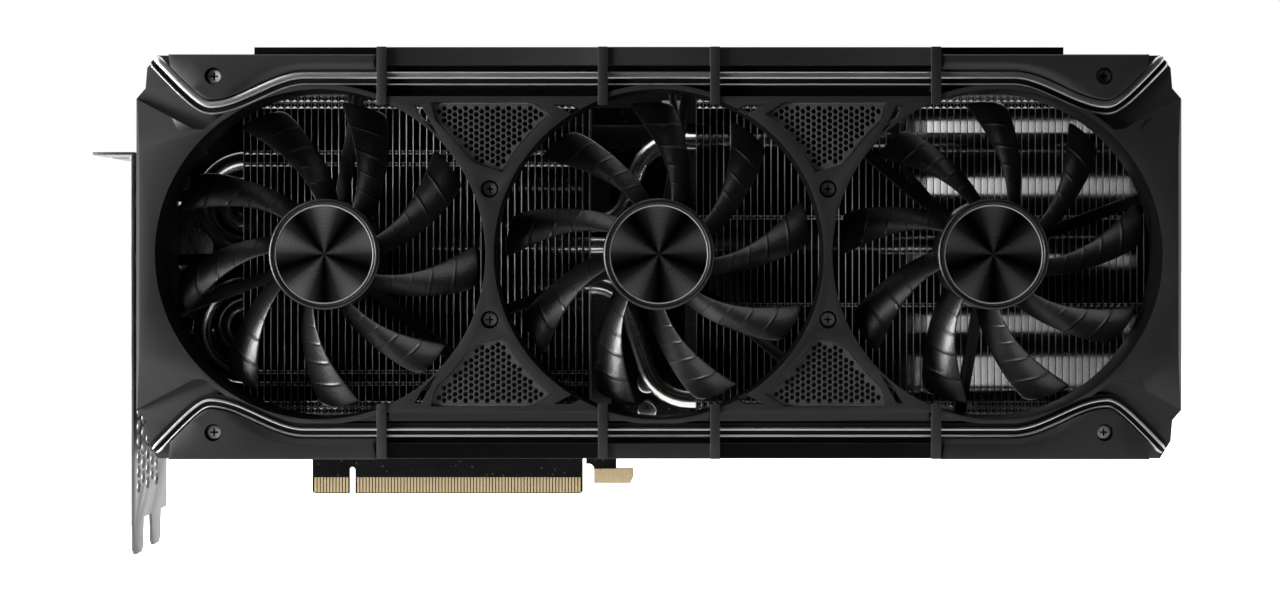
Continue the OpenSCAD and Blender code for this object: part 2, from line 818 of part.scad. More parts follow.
// Gold contacts on both faces of the tongue, and the plated hook
module edge_contacts() {
    contact = [0.7, 4.8];
    film = 0.05;
    first = concat([for (i = [0:10]) -11.65 + i], [for (i = [0:70]) 1.85 + i]);
    color([0.83, 0.69, 0.4]) for (side = [-1, 1]) {
        y = side < 0 ? board_front_y - film : board_back_y;
        for (x = first) box([x - contact[0] / 2, y, 0.3], [x + contact[0] / 2, y + film, 0.3 + contact[1]]);
        board_face(y, y + film) polygon([
            [hook_x[0] + 0.1, hook_z[0] + 0.1], [hook_x[1] - 1.1, hook_z[0] + 0.1],
            [hook_x[1] - 0.1, 5.4], [hook_x[1] - 0.1, hook_z[1] - 0.1], [hook_x[0] + 0.1, hook_z[1] - 0.1]
        ]);
    }
}

module gpu_package() {
    color([0.1, 0.25, 0.15]) box([gpu_x - 20, -2.6, gpu_z - 20], [gpu_x + 20, board_front_y, gpu_z + 20]);
    color([0.3, 0.3, 0.33]) box([gpu_x - 12, -3.5, gpu_z - 13], [gpu_x + 12, -2.6, gpu_z + 13]);
}

module memory_chips() {
    color([0.08, 0.08, 0.08]) at_chips(-2, board_front_y, 0);
}

choke_places = concat(
    [for (k = [0:8]) [113, 33 + k * 9]],
    [for (k = [0:5]) [-20, 48 + k * 9]]
);

// Square power inductors beside both memory columns
module chokes() {
    color([0.25, 0.25, 0.26]) for (p = choke_places) {
        box([p[0] - 3.5, -5.6, p[1] - 3.5], [p[0] + 3.5, board_front_y - 0.4, p[1] + 3.5]);
        box([p[0] - 3.5, board_front_y - 0.4, p[1] - 1.5], [p[0] - 2, board_front_y, p[1] + 1.5]);
        box([p[0] + 2, board_front_y - 0.4, p[1] - 1.5], [p[0] + 3.5, board_front_y, p[1] + 1.5]);
    }
}

module power_stages() {
    color([0.09, 0.09, 0.1]) for (p = choke_places)
        box([p[0] + 5, -1.7, p[1] - 3], [p[0] + 10, board_front_y, p[1] + 3]);
}

can_places = [[93, 35], [93.5, 26.8]];

// Polymer capacitors: a square foot, a can and a rolled groove
module can_capacitors() {
    for (p = can_places) {
        color([0.1, 0.1, 0.1]) box([p[0] - 3.2, -2, p[1] - 3.2], [p[0] + 3.2, board_front_y, p[1] + 3.2]);
        color([0.8, 0.8, 0.82]) {
            rod_y(p[0], p[1], -3.4, -2, 3);
            rod_y(p[0], p[1], -4, -3.4, 2.7);
            rod_y(p[0], p[1], -8.2, -4, 3);
        }
    }
}

socket_x = [115, 134.4, 153.8];
socket_size = [18.6, 11.2, 14];
socket_low_z = 116.6;

// Eight-way sockets at the board's top edge, open upwards
module power_sockets() {
    cell = 3.6;
    cell_pitch = 4.2;
    low_y = board_front_y - socket_size[1];
    color([0.06, 0.06, 0.06]) for (x = socket_x) {
        difference() {
            box([x - socket_size[0] / 2, low_y, socket_low_z],
                [x + socket_size[0] / 2, board_front_y, socket_low_z + socket_size[2]]);
            for (i = [0:3], j = [0:1])
                translate([x + (i - 1.5) * cell_pitch - cell / 2, low_y + 1.6 + j * cell_pitch, socket_low_z + 2])
                    cube([cell, cell, socket_size[2]]);
        }
        box([x - 2, low_y - 1.2, socket_low_z + 8], [x + 2, low_y, socket_low_z + 12]);
    }
    color([0.8, 0.7, 0.4]) for (x = socket_x, i = [0:3], j = [0:1])
        translate([x + (i - 1.5) * cell_pitch - 0.5, low_y + 2.9 + j * cell_pitch, socket_low_z + 2])
            cube([1, 1, 8]);
}

port_z = [84, 64, 44];
hdmi_z = 25;
port_front_x = bracket_x - bracket_thickness;
port_y = -3.4;

// A metal shell with a tongue inside, its mouth towards -X
module port_shell(z, height, depth, shell_wall = 0.5) {
    module profile(grow) {
        translate([port_y, z]) polygon([
            [-depth / 2 - grow, -height / 2 - grow], [depth / 2 + grow, -height / 2 - grow],
            [depth / 2 + grow, height / 2 + grow], [-depth / 2 + 1.2 - grow, height / 2 + grow],
            [-depth / 2 - grow, height / 2 - 1.2 + grow]
        ]);
    }
    color([0.72, 0.73, 0.75]) translate([port_front_x, 0, 0]) rotate([90, 0, 90]) difference() {
        linear_extrude(17) profile(0);
        translate([0, 0, -1]) linear_extrude(15) profile(-shell_wall);
    }
    color([0.1, 0.1, 0.1]) box([port_front_x + 2, port_y - 0.6, z - height / 2 + 1.6],
        [port_front_x + 14, port_y + 0.6, z + height / 2 - 1.6]);
}

module display_ports() {
    for (z = port_z) port_shell(z, 16.4, 5);
}

module hdmi_port() {
    port_shell(hdmi_z, 14.4, 5);
}

switch_x = 60;
switch_low_z = 115;
switch_high_z = 122.5;
knob_size = [2.4, 1.6];

// Slide switch housing with a slot along X in its top
module switch_body() {
    color([0.7, 0.71, 0.73]) difference() {
        box([switch_x - 5, -5.2, switch_low_z], [switch_x + 5, board_front_y, switch_high_z]);
        box([switch_x - 4, -4.4, switch_low_z + 1], [switch_x + 4, board_front_y - 0.8, switch_high_z - 1]);
        box([switch_x - knob_size[0] / 2 - 0.2, -3 - knob_size[1] / 2 - 0.1, switch_high_z - 2],
            [switch_x + knob_size[0] / 2 + switch_travel + 0.2, -3 + knob_size[1] / 2 + 0.1, switch_high_z + 1]);
    }
}

module switch_slider() {
    color([0.1, 0.1, 0.1]) {
        box([switch_x - knob_size[0] / 2, -3 - knob_size[1] / 2, switch_high_z - 2],
            [switch_x + knob_size[0] / 2, -3 + knob_size[1] / 2, switch_high_z + 1.6]);
        box([switch_x - 1.6, -4.2, switch_low_z + 2],
            [switch_x + 1.6, board_front_y - 1, switch_high_z - 1.2]);
    }
}

// ---- rear ----

vent_rows = [[38.4, 9], [53.6, 5], [76, 7], [97.4, 5], [113.6, 9]];
vent_x = [177, 240];

// Aluminium back plate with standoffs and flow-through openings past the board's end
module backplate() {
    color([0.08, 0.08, 0.09]) {
        board_face(backplate_front_y, backplate_back_y) difference() {
            translate([mid_x, mid_z]) shroud_outline();
            for (row = vent_rows)
                translate([vent_x[0], row[0] - row[1] / 2]) square([vent_x[1] - vent_x[0], row[1]]);
            translate([gpu_x - 27, gpu_z - 30]) square([54, 60]);
            for (p = rear_screw_places) translate(p) circle(r = 1.4, $fn = rounded);
        }
        for (p = rear_screw_places) difference() {
            rod_y(p[0], p[1], board_back_y, backplate_front_y, 3);
            rod_y(p[0], p[1], board_back_y - 1, backplate_front_y + 1, 1.4);
        }
        box([mid_x + half_length - wall, end_wall_back_y, 50], [mid_x + half_length, backplate_front_y, 100]);
    }
}

module rear_screws() {
    color([0.2, 0.2, 0.21]) for (p = rear_screw_places)
        mirror([0, 1, 0]) cross_screw(p[0], p[1], -backplate_back_y - 1.4, 1.6, 2.4, 1.25);
    color([0.7, 0.7, 0.72]) for (p = spring_screw_places)
        mirror([0, 1, 0]) cross_screw(p[0], p[1], -5.2, 3.6, 2.6, 1.4);
}

// Cross-shaped spring plate that pulls the cold plate onto the processor
module retention_spring() {
    color([0.7, 0.71, 0.73]) board_face(2.4, 3.8) difference() {
        union() {
            translate([gpu_x, gpu_z]) circle(r = 12, $fn = rounded);
            for (turn = [1, -1]) translate([gpu_x, gpu_z]) rotate(turn * atan2(24, 21))
                square([2 * norm([21, 24]), 7], center = true);
            for (p = spring_screw_places) translate(p) circle(r = 4, $fn = rounded);
        }
        translate([gpu_x, gpu_z]) circle(r = 7, $fn = rounded);
        for (p = spring_screw_places) translate(p) circle(r = 1.5, $fn = rounded);
    }
}

bracket_y = [-38.3, 0.44];
bracket_low_z = -4;
bracket_tip_z = -14;
tab_top_z = 106.02;
tab_reach = 11.43;
tongue_y = [-32.6, -12.3];
tongue_width = 10.19;
fixing_z = [98, 14.8];

// Two-slot bracket: face plate, two slot tongues and a fold-over tab with two screw notches
module io_bracket() {
    color([0.78, 0.79, 0.8]) {
        translate([bracket_x - bracket_thickness, 0, 0]) rotate([90, 0, 90])
            linear_extrude(bracket_thickness) difference() {
                union() {
                    translate([bracket_y[0], bracket_low_z])
                        square([bracket_y[1] - bracket_y[0], tab_top_z - bracket_low_z]);
                    for (y = tongue_y) polygon([
                        [y - 5.7, bracket_low_z], [y - 5.7, bracket_low_z - 0.5],
                        [y - tongue_width / 2, bracket_low_z - 4], [y - tongue_width / 2, bracket_tip_z + 1.6],
                        [y - tongue_width / 2 + 2, bracket_tip_z], [y + tongue_width / 2 - 2, bracket_tip_z],
                        [y + tongue_width / 2, bracket_tip_z + 1.6], [y + tongue_width / 2, bracket_low_z - 4],
                        [y + 5.7, bracket_low_z - 0.5], [y + 5.7, bracket_low_z]
                    ]);
                }
                for (z = port_z) translate([port_y - 2.7, z - 8.4]) square([5.4, 16.8]);
                translate([port_y - 2.7, hdmi_z - 7.4]) square([5.4, 14.8]);
                // Hexagonal air holes
                for (i = [0:4], j = [0:20])
                    translate([-33 + i * 5.2, 6 + j * 4.5 + (i % 2) * 2.25]) circle(r = 2.1, $fn = 6);
                for (z = fixing_z) translate([-3.4, z]) circle(r = 1.6, $fn = rounded);
            }
        translate([0, 0, tab_top_z - bracket_thickness]) linear_extrude(bracket_thickness) difference() {
            translate([bracket_x - tab_reach - bracket_thickness, bracket_y[0]])
                square([tab_reach, bracket_y[1] - bracket_y[0]]);
            translate([bracket_x - 7.4, bracket_y[1]]) circle(r = 2.21, $fn = rounded);
            translate([bracket_x - 7.4, bracket_y[1] - 20.32]) circle(r = 2.21, $fn = rounded);
            translate([bracket_x - 12.4, bracket_y[1] - 22.53]) square([5, 4.42]);
        }
        for (z = fixing_z) box([bracket_x, board_front_y - 1, z - 2.1], [-51, board_front_y, z + 2.1]);
    }
}

module bracket_screws() {
    color([0.3, 0.3, 0.31]) for (z = fixing_z) translate([bracket_x - bracket_thickness, -3.4, z]) {
        rotate([0, -90, 0]) difference() {
            cylinder(h = 1.2, r = 2.6, $fn = rounded);
            for (turn = [0, 90]) rotate([0, 0, turn]) translate([0, 0, 1.2]) cube([2.6, 0.6, 1.4], center = true);
        }
        rotate([0, 90, 0]) cylinder(h = bracket_thickness, r = 1.55, $fn = rounded);
    }
}

// ---- nodes ----

front_shroud();
corner_plate_top_left();
corner_plate_top_right();
corner_plate_bottom_left();
corner_plate_bottom_right();
top_trim_strip();
bottom_trim_strip();
top_cross_frame();
bottom_cross_frame();
mesh_inserts_upper();
mesh_inserts_lower();
shroud_screws();
impeller(0, blade_starts[0]);  // left_impeller
hub_disc(0);  // left_hub_disc
fan_shaft(0);  // left_shaft
magnet_ring(0);  // left_magnet_ring
stator(0);  // left_stator
bearing(0);  // left_bearing
motor_mount(0);  // left_motor_mount
impeller(1, blade_starts[1]);  // centre_impeller
hub_disc(1);  // centre_hub_disc
fan_shaft(1);  // centre_shaft
magnet_ring(1);  // centre_magnet_ring
stator(1);  // centre_stator
bearing(1);  // centre_bearing
motor_mount(1);  // centre_motor_mount
impeller(2, blade_starts[2]);  // right_impeller
hub_disc(2);  // right_hub_disc
fan_shaft(2);  // right_shaft
magnet_ring(2);  // right_magnet_ring
stator(2);  // right_stator
bearing(2);  // right_bearing
motor_mount(2);  // right_motor_mount
motor_screws();
fan_leads();
fan_headers();
fin_stack_left();
fin_stack_right();
heat_pipes_upper();
heat_pipes_lower();
cold_plate();
heatsink_frame();
circuit_board();
edge_contacts();
gpu_package();
memory_chips();
thermal_pads();
chokes();
power_stages();
can_capacitors();
power_sockets();
display_ports();
hdmi_port();
switch_body();
switch_slider();
backplate();
rear_screws();
retention_spring();
io_bracket();
bracket_screws();
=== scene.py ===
"""Desktop graphics card with three fans: the looks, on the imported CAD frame. Metres, Z up."""
import math

import bmesh
import bpy
from mathutils import Matrix, Vector
from mathutils.geometry import delaunay_2d_cdt


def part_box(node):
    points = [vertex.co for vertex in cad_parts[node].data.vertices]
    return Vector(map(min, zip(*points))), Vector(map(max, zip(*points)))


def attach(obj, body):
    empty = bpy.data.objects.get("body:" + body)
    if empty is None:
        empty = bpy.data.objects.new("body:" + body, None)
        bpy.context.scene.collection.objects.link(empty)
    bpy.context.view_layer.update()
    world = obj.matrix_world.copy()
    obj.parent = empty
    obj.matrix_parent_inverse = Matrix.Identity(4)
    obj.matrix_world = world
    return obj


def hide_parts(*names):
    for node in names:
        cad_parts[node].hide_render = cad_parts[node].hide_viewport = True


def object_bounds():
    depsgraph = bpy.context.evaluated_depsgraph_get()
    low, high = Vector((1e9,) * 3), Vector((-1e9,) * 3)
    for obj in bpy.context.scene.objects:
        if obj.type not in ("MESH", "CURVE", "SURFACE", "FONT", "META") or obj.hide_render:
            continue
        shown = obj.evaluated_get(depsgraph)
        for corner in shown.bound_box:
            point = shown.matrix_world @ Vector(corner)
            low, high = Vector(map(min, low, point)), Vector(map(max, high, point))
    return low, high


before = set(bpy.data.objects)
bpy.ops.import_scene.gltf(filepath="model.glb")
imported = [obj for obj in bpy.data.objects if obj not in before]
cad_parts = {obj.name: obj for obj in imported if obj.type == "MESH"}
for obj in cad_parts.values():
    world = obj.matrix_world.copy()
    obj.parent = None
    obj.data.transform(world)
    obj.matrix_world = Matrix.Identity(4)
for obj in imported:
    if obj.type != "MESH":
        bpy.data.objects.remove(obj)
cad_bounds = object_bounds()

MM = 0.001
MID = Vector((0.097, 0, 0.0756))
PITCH = 0.0984
TAU = 2 * math.pi
scene = bpy.context.scene

# ---- camera: level, square to the fans, a little over half a metre away ----

camera_data = bpy.data.cameras.new("camera")
camera = bpy.data.objects.new("camera", camera_data)
scene.collection.objects.link(camera)
scene.camera = camera
camera_data.sensor_width = 36
camera_data.lens = 55.4
camera_data.shift_x = -0.0153
camera_data.shift_y = -0.0363
camera_data.clip_start = 0.01
camera_data.clip_end = 50
camera.location = (97.2 * MM, -624 * MM, 75.1 * MM)
camera.rotation_euler = (math.pi / 2, 0, 0)
scene.view_settings.view_transform = "Standard"


# ---- shader helpers ----

class Nodes:
    """A node tree with short calls for adding and linking nodes."""

    def __init__(self, tree):
        self.tree = tree
        tree.nodes.clear()

    def add(self, kind, **settings):
        node = self.tree.nodes.new(kind)
        for key, value in settings.items():
            setattr(node, key, value)
        return node

    def link(self, source, target):
        self.tree.links.new(source, target)

    def feed(self, socket, value):
        """Sets a socket from a number, a tuple or another socket."""
        if isinstance(value, bpy.types.NodeSocket):
            self.link(value, socket)
        elif value is not None:
            socket.default_value = value

    def math(self, operation, a, b=None, c=None):
        node = self.add("ShaderNodeMath", operation=operation)
        for index, value in enumerate((a, b, c)):
            self.feed(node.inputs[index], value)
        return node.outputs[0]

    def mix(self, factor, a, b):
        """Mixes two colours."""
        node = self.add("ShaderNodeMix", data_type="RGBA")
        self.feed(node.inputs[0], factor)
        self.feed(node.inputs[6], a)
        self.feed(node.inputs[7], b)
        return node.outputs[2]

    def ramp(self, factor, *stops):
        """A colour ramp through (position, grey or colour) stops."""
        node = self.add("ShaderNodeValToRGB")
        self.feed(node.inputs[0], factor)
        elements = node.color_ramp.elements
        while len(elements) < len(stops):
            elements.new(0.5)
        for element, (position, value) in zip(elements, stops):
            element.position = position
            element.color = value if isinstance(value, tuple) else (value, value, value, 1)
        return node.outputs[0]

    def coordinates(self, stretch=(1, 1, 1)):
        """Object coordinates in metres, stretched."""
        source = self.add("ShaderNodeTexCoord")
        mapping = self.add("ShaderNodeMapping")
        mapping.inputs["Scale"].default_value = stretch
        self.link(source.outputs["Object"], mapping.inputs["Vector"])
        return mapping.outputs["Vector"]

    def noise(self, scale, detail=2.0, rough=0.5, vector=None):
        node = self.add("ShaderNodeTexNoise")
        node.inputs["Scale"].default_value = scale
        node.inputs["Detail"].default_value = detail
        node.inputs["Roughness"].default_value = rough
        self.feed(node.inputs["Vector"], vector or self.coordinates())
        return node.outputs["Fac"]

    def cells(self, scale, vector=None, feature="F1"):
        node = self.add("ShaderNodeTexVoronoi", feature=feature)
        node.inputs["Scale"].default_value = scale
        self.feed(node.inputs["Vector"], vector or self.coordinates())
        return node.outputs["Distance"]

    def bump(self, height, strength, distance, normal=None):
        node = self.add("ShaderNodeBump")
        node.inputs["Strength"].default_value = strength
        node.inputs["Distance"].default_value = distance
        self.feed(node.inputs["Height"], height)
        self.feed(node.inputs["Normal"], normal)
        return node.outputs["Normal"]

    def span(self, value, low, high):
        """A 0 to 1 value moved to low to high."""
        return self.math("MULTIPLY_ADD", value, high - low, low)


def grey(level):
    return (level, level, level, 1)


def tint(red, green, blue):
    return (red, green, blue, 1)


def shader(name, metallic=0.0, specular=0.5, coat=0.0, coat_roughness=0.1, anisotropic=0.0):
    """A new material: its nodes and its Principled shader."""
    material = bpy.data.materials.new(name)
    material.use_nodes = True
    nodes = Nodes(material.node_tree)
    output = nodes.add("ShaderNodeOutputMaterial")
    surface = nodes.add("ShaderNodeBsdfPrincipled")
    nodes.link(surface.outputs[0], output.inputs["Surface"])
    surface.inputs["Metallic"].default_value = metallic
    surface.inputs["Specular IOR Level"].default_value = specular
    surface.inputs["Coat Weight"].default_value = coat
    surface.inputs["Coat Roughness"].default_value = coat_roughness
    surface.inputs["Anisotropic"].default_value = anisotropic
    return material, nodes, surface


def plastic(name, dark, light, rough, grain=2600, depth=0.02, specular=0.5, coat=0.0):
    """Moulded plastic: a fine spark-eroded grain, soft cloudiness, and faint dust."""
    material, nodes, surface = shader(name, specular=specular, coat=coat, coat_roughness=0.18)
    fine = nodes.noise(grain, 3, 0.6)
    cloud = nodes.noise(38, 3, 0.55)
    speck = nodes.cells(grain * 0.45)
    body = nodes.mix(nodes.ramp(cloud, (0.32, 0.0), (0.7, 1.0)), dark, light)
    lit = nodes.mix(nodes.ramp(fine, (0.45, 0.0), (0.75, 0.35)), body, light)
    nodes.link(lit, surface.inputs["Base Color"])
    wear = nodes.math("ADD", nodes.span(cloud, rough[0], rough[1]), nodes.span(fine, -0.04, 0.04))
    nodes.link(wear, surface.inputs["Roughness"])
    relief = nodes.math("MULTIPLY_ADD", speck, 0.6, fine)
    nodes.link(nodes.bump(relief, depth * 10, 0.00002), surface.inputs["Normal"])
    return material


def metal(name, dark, light, rough, stretch=(1, 1, 1), scale=900, depth=0.3, anisotropic=0.0, spots=0.0):
    """Metal with a directional finish: stretch lengthens the scratches along an axis."""
    material, nodes, surface = shader(name, metallic=1.0, anisotropic=anisotropic)
    lines = nodes.noise(scale, 4, 0.65, nodes.coordinates(stretch))
    cloud = nodes.noise(60, 3, 0.5)
    body = nodes.mix(nodes.ramp(lines, (0.3, 0.0), (0.7, 1.0)), dark, light)
    stained = nodes.mix(nodes.ramp(cloud, (0.45, 0.0), (0.8, spots)), body, dark)
    nodes.link(stained, surface.inputs["Base Color"])
    finish = nodes.math("MULTIPLY_ADD", lines, rough[1] - rough[0], rough[0])
    nodes.link(nodes.math("MULTIPLY_ADD", cloud, 0.08, finish), surface.inputs["Roughness"])
    nodes.link(nodes.bump(lines, depth, 0.00002), surface.inputs["Normal"])
    return material


# ---- studio: white round the object, dark behind the camera, soft lights at the sides ----

def studio():
    world = bpy.data.worlds.new("studio")
    scene.world = world
    world.use_nodes = True
    nodes = Nodes(world.node_tree)
    output = nodes.add("ShaderNodeOutputWorld")
    seen = nodes.add("ShaderNodeBackground")
    seen.inputs["Color"].default_value = grey(1.0)
    seen.inputs["Strength"].default_value = 1.0
    around = nodes.add("ShaderNodeBackground")
    direction = nodes.add("ShaderNodeTexCoord").outputs["Generated"]
    split = nodes.add("ShaderNodeSeparateXYZ")
    nodes.link(direction, split.inputs[0])
    depth = nodes.ramp(
        nodes.span(split.outputs["Y"], 0.5, 1.0), (0.2, 0.004), (0.46, 0.03), (0.54, 0.45), (0.8, 1.0))
    nodes.link(depth, around.inputs["Color"])
    around.inputs["Strength"].default_value = 1.1
    path = nodes.add("ShaderNodeLightPath")
    blend = nodes.add("ShaderNodeMixShader")
    nodes.link(path.outputs["Is Camera Ray"], blend.inputs[0])
    nodes.link(around.outputs[0], blend.inputs[1])
    nodes.link(seen.outputs[0], blend.inputs[2])
    nodes.link(blend.outputs[0], output.inputs["Surface"])


def softbox(name, place, aim, size, power):
    """A soft rectangular light that points at a spot; the camera doesn't see it."""
    data = bpy.data.lights.new(name, "AREA")
    data.shape = "RECTANGLE"
    data.size, data.size_y = size
    data.energy = power
    light = bpy.data.objects.new(name, data)
    scene.collection.objects.link(light)
    light.location = place
    light.rotation_euler = (Vector(aim) - Vector(place)).to_track_quat("-Z", "Y").to_euler()
    light.visible_camera = False
    return light


def floor():
    low = cad_bounds[0][2] - 0.0004
    mesh = bpy.data.meshes.new("floor")
    shape = bmesh.new()
    bmesh.ops.create_circle(shape, cap_ends=True, segments=96, radius=6)
    shape.to_mesh(mesh)
    shape.free()
    ground = bpy.data.objects.new("floor", mesh)
    scene.collection.objects.link(ground)
    ground.location = (0.097, 5.82, low)
    material, nodes, surface = shader("pale_floor", specular=0.1)
    soft = nodes.noise(3, 3, 0.5)
    nodes.link(nodes.mix(soft, grey(0.8), grey(0.86)), surface.inputs["Base Color"])
    surface.inputs["Roughness"].default_value = 0.8
    surface.inputs["Emission Color"].default_value = grey(1.0)
    surface.inputs["Emission Strength"].default_value = 0.85
    nodes.link(nodes.bump(nodes.noise(500, 2, 0.5), 0.05, 0.0001), surface.inputs["Normal"])
    mesh.materials.append(material)


studio()
centre = (0.097, 0, 0.07)
softbox("left_light", (-0.8, -0.42, 0.02), centre, (0.3, 0.5), 19)
softbox("upper_left_light", (-0.5, -0.5, 0.6), centre, (0.35, 0.35), 1.8)
softbox("right_light", (1.15, -0.3, 0.15), centre, (0.4, 0.9), 2.5)
softbox("top_light", (0.097, -0.12, 0.9), centre, (1.4, 0.5), 4)
softbox("back_light", (0.097, 0.9, 0.5), centre, (1.6, 0.9), 6)
floor()


# ---- materials ----

def spun_metal_painted_highlight():
    """Dark metal turned on a lathe: fine rings, and five lobes of painted highlight that swing round the
    centre, standing in for the lights reflected in it.
    """
    material, nodes, surface = shader("spun_metal_painted_highlight", metallic=1.0)
    source = nodes.add("ShaderNodeTexCoord").outputs["Object"]
    split = nodes.add("ShaderNodeSeparateXYZ")
    nodes.link(source, split.inputs[0])
    x, z = split.outputs["X"], split.outputs["Z"]
    radius = nodes.math("SQRT", nodes.math("ADD", nodes.math("MULTIPLY", x, x), nodes.math("MULTIPLY", z, z)))
    angle = nodes.math("ARCTAN2", z, x)
    # Five lobes of painted highlight round the centre, standing in for the lights reflected in the spun face.
    lobes = nodes.math("COSINE", nodes.math("MULTIPLY_ADD", angle, 5.0, math.pi / 2 - math.pi))
    rings = nodes.add("ShaderNodeTexWave", wave_type="RINGS", rings_direction="Y")
    rings.inputs["Scale"].default_value = 260
    rings.inputs["Distortion"].default_value = 0.6
    rings.inputs["Detail"].default_value = 3
    nodes.link(source, rings.inputs["Vector"])
    painted_lobe_highlight = nodes.ramp(nodes.span(lobes, 0.5, 1.0), (0.0, 0.0), (0.5, 0.2), (1.0, 1.0))
    lit = nodes.mix(painted_lobe_highlight, grey(0.004), grey(0.5))
    fine = nodes.mix(nodes.span(rings.outputs["Fac"], 0.0, 0.12), lit, grey(0.012))
    nodes.link(fine, surface.inputs["Base Color"])
    nodes.link(nodes.math("MULTIPLY_ADD", radius, 6.0, 0.24), surface.inputs["Roughness"])
    nodes.link(nodes.bump(rings.outputs["Fac"], 0.05, 0.00001), surface.inputs["Normal"])
    return material


def board_finish():
    """Matt black solder mask: bundles of traces under it as faint ridges, and small via dots."""
    material, nodes, surface = shader("solder_mask", specular=0.08)
    traces = nodes.add("ShaderNodeTexWave", wave_type="BANDS", bands_direction="DIAGONAL")
    traces.inputs["Scale"].default_value = 330
    traces.inputs["Distortion"].default_value = 9
    traces.inputs["Detail"].default_value = 1
    traces.inputs["Detail Scale"].default_value = 0.25
    nodes.link(nodes.coordinates(), traces.inputs["Vector"])
    routed = nodes.ramp(nodes.noise(95, 1, 0.4), (0.46, 0.0), (0.52, 1.0))
    ridge = nodes.math("MULTIPLY", nodes.ramp(traces.outputs["Fac"], (0.45, 0.0), (0.6, 1.0)), routed)
    vias = nodes.ramp(nodes.cells(420), (0.1, 1.0), (0.16, 0.0))
    mask = nodes.mix(ridge, tint(0.0015, 0.0017, 0.002), tint(0.004, 0.0044, 0.005))
    nodes.link(nodes.mix(vias, mask, tint(0.05, 0.045, 0.03)), surface.inputs["Base Color"])
    nodes.link(nodes.span(nodes.noise(800, 2), 0.28, 0.42), surface.inputs["Roughness"])
    relief = nodes.math("MULTIPLY_ADD", vias, -0.5, ridge)
    nodes.link(nodes.bump(relief, 0.2, 0.00003), surface.inputs["Normal"])
    return material


def channel_finish():
    """Glossy black beside the trim strips, which turns to the textured black of the shroud at its ends."""
    material, nodes, surface = shader("channel_black", specular=0.32)
    split = nodes.add("ShaderNodeSeparateXYZ")
    nodes.link(nodes.add("ShaderNodeTexCoord").outputs["Object"], split.inputs[0])
    out = nodes.math("ABSOLUTE", nodes.math("SUBTRACT", split.outputs["X"], MID.x))
    end = nodes.ramp(nodes.math("MULTIPLY", out, 5.0), (0.64, 0.0), (0.655, 1.0))
    fine = nodes.noise(2600, 3, 0.6)
    body = nodes.mix(end, grey(0.0018), grey(0.011))
    nodes.link(nodes.mix(nodes.math("MULTIPLY", fine, 0.4), body, grey(0.006)), surface.inputs["Base Color"])
    rough = nodes.math("MULTIPLY_ADD", end, 0.32, nodes.span(fine, 0.14, 0.22))
    nodes.link(rough, surface.inputs["Roughness"])
    nodes.link(nodes.bump(fine, 0.25, 0.00002), surface.inputs["Normal"])
    return material


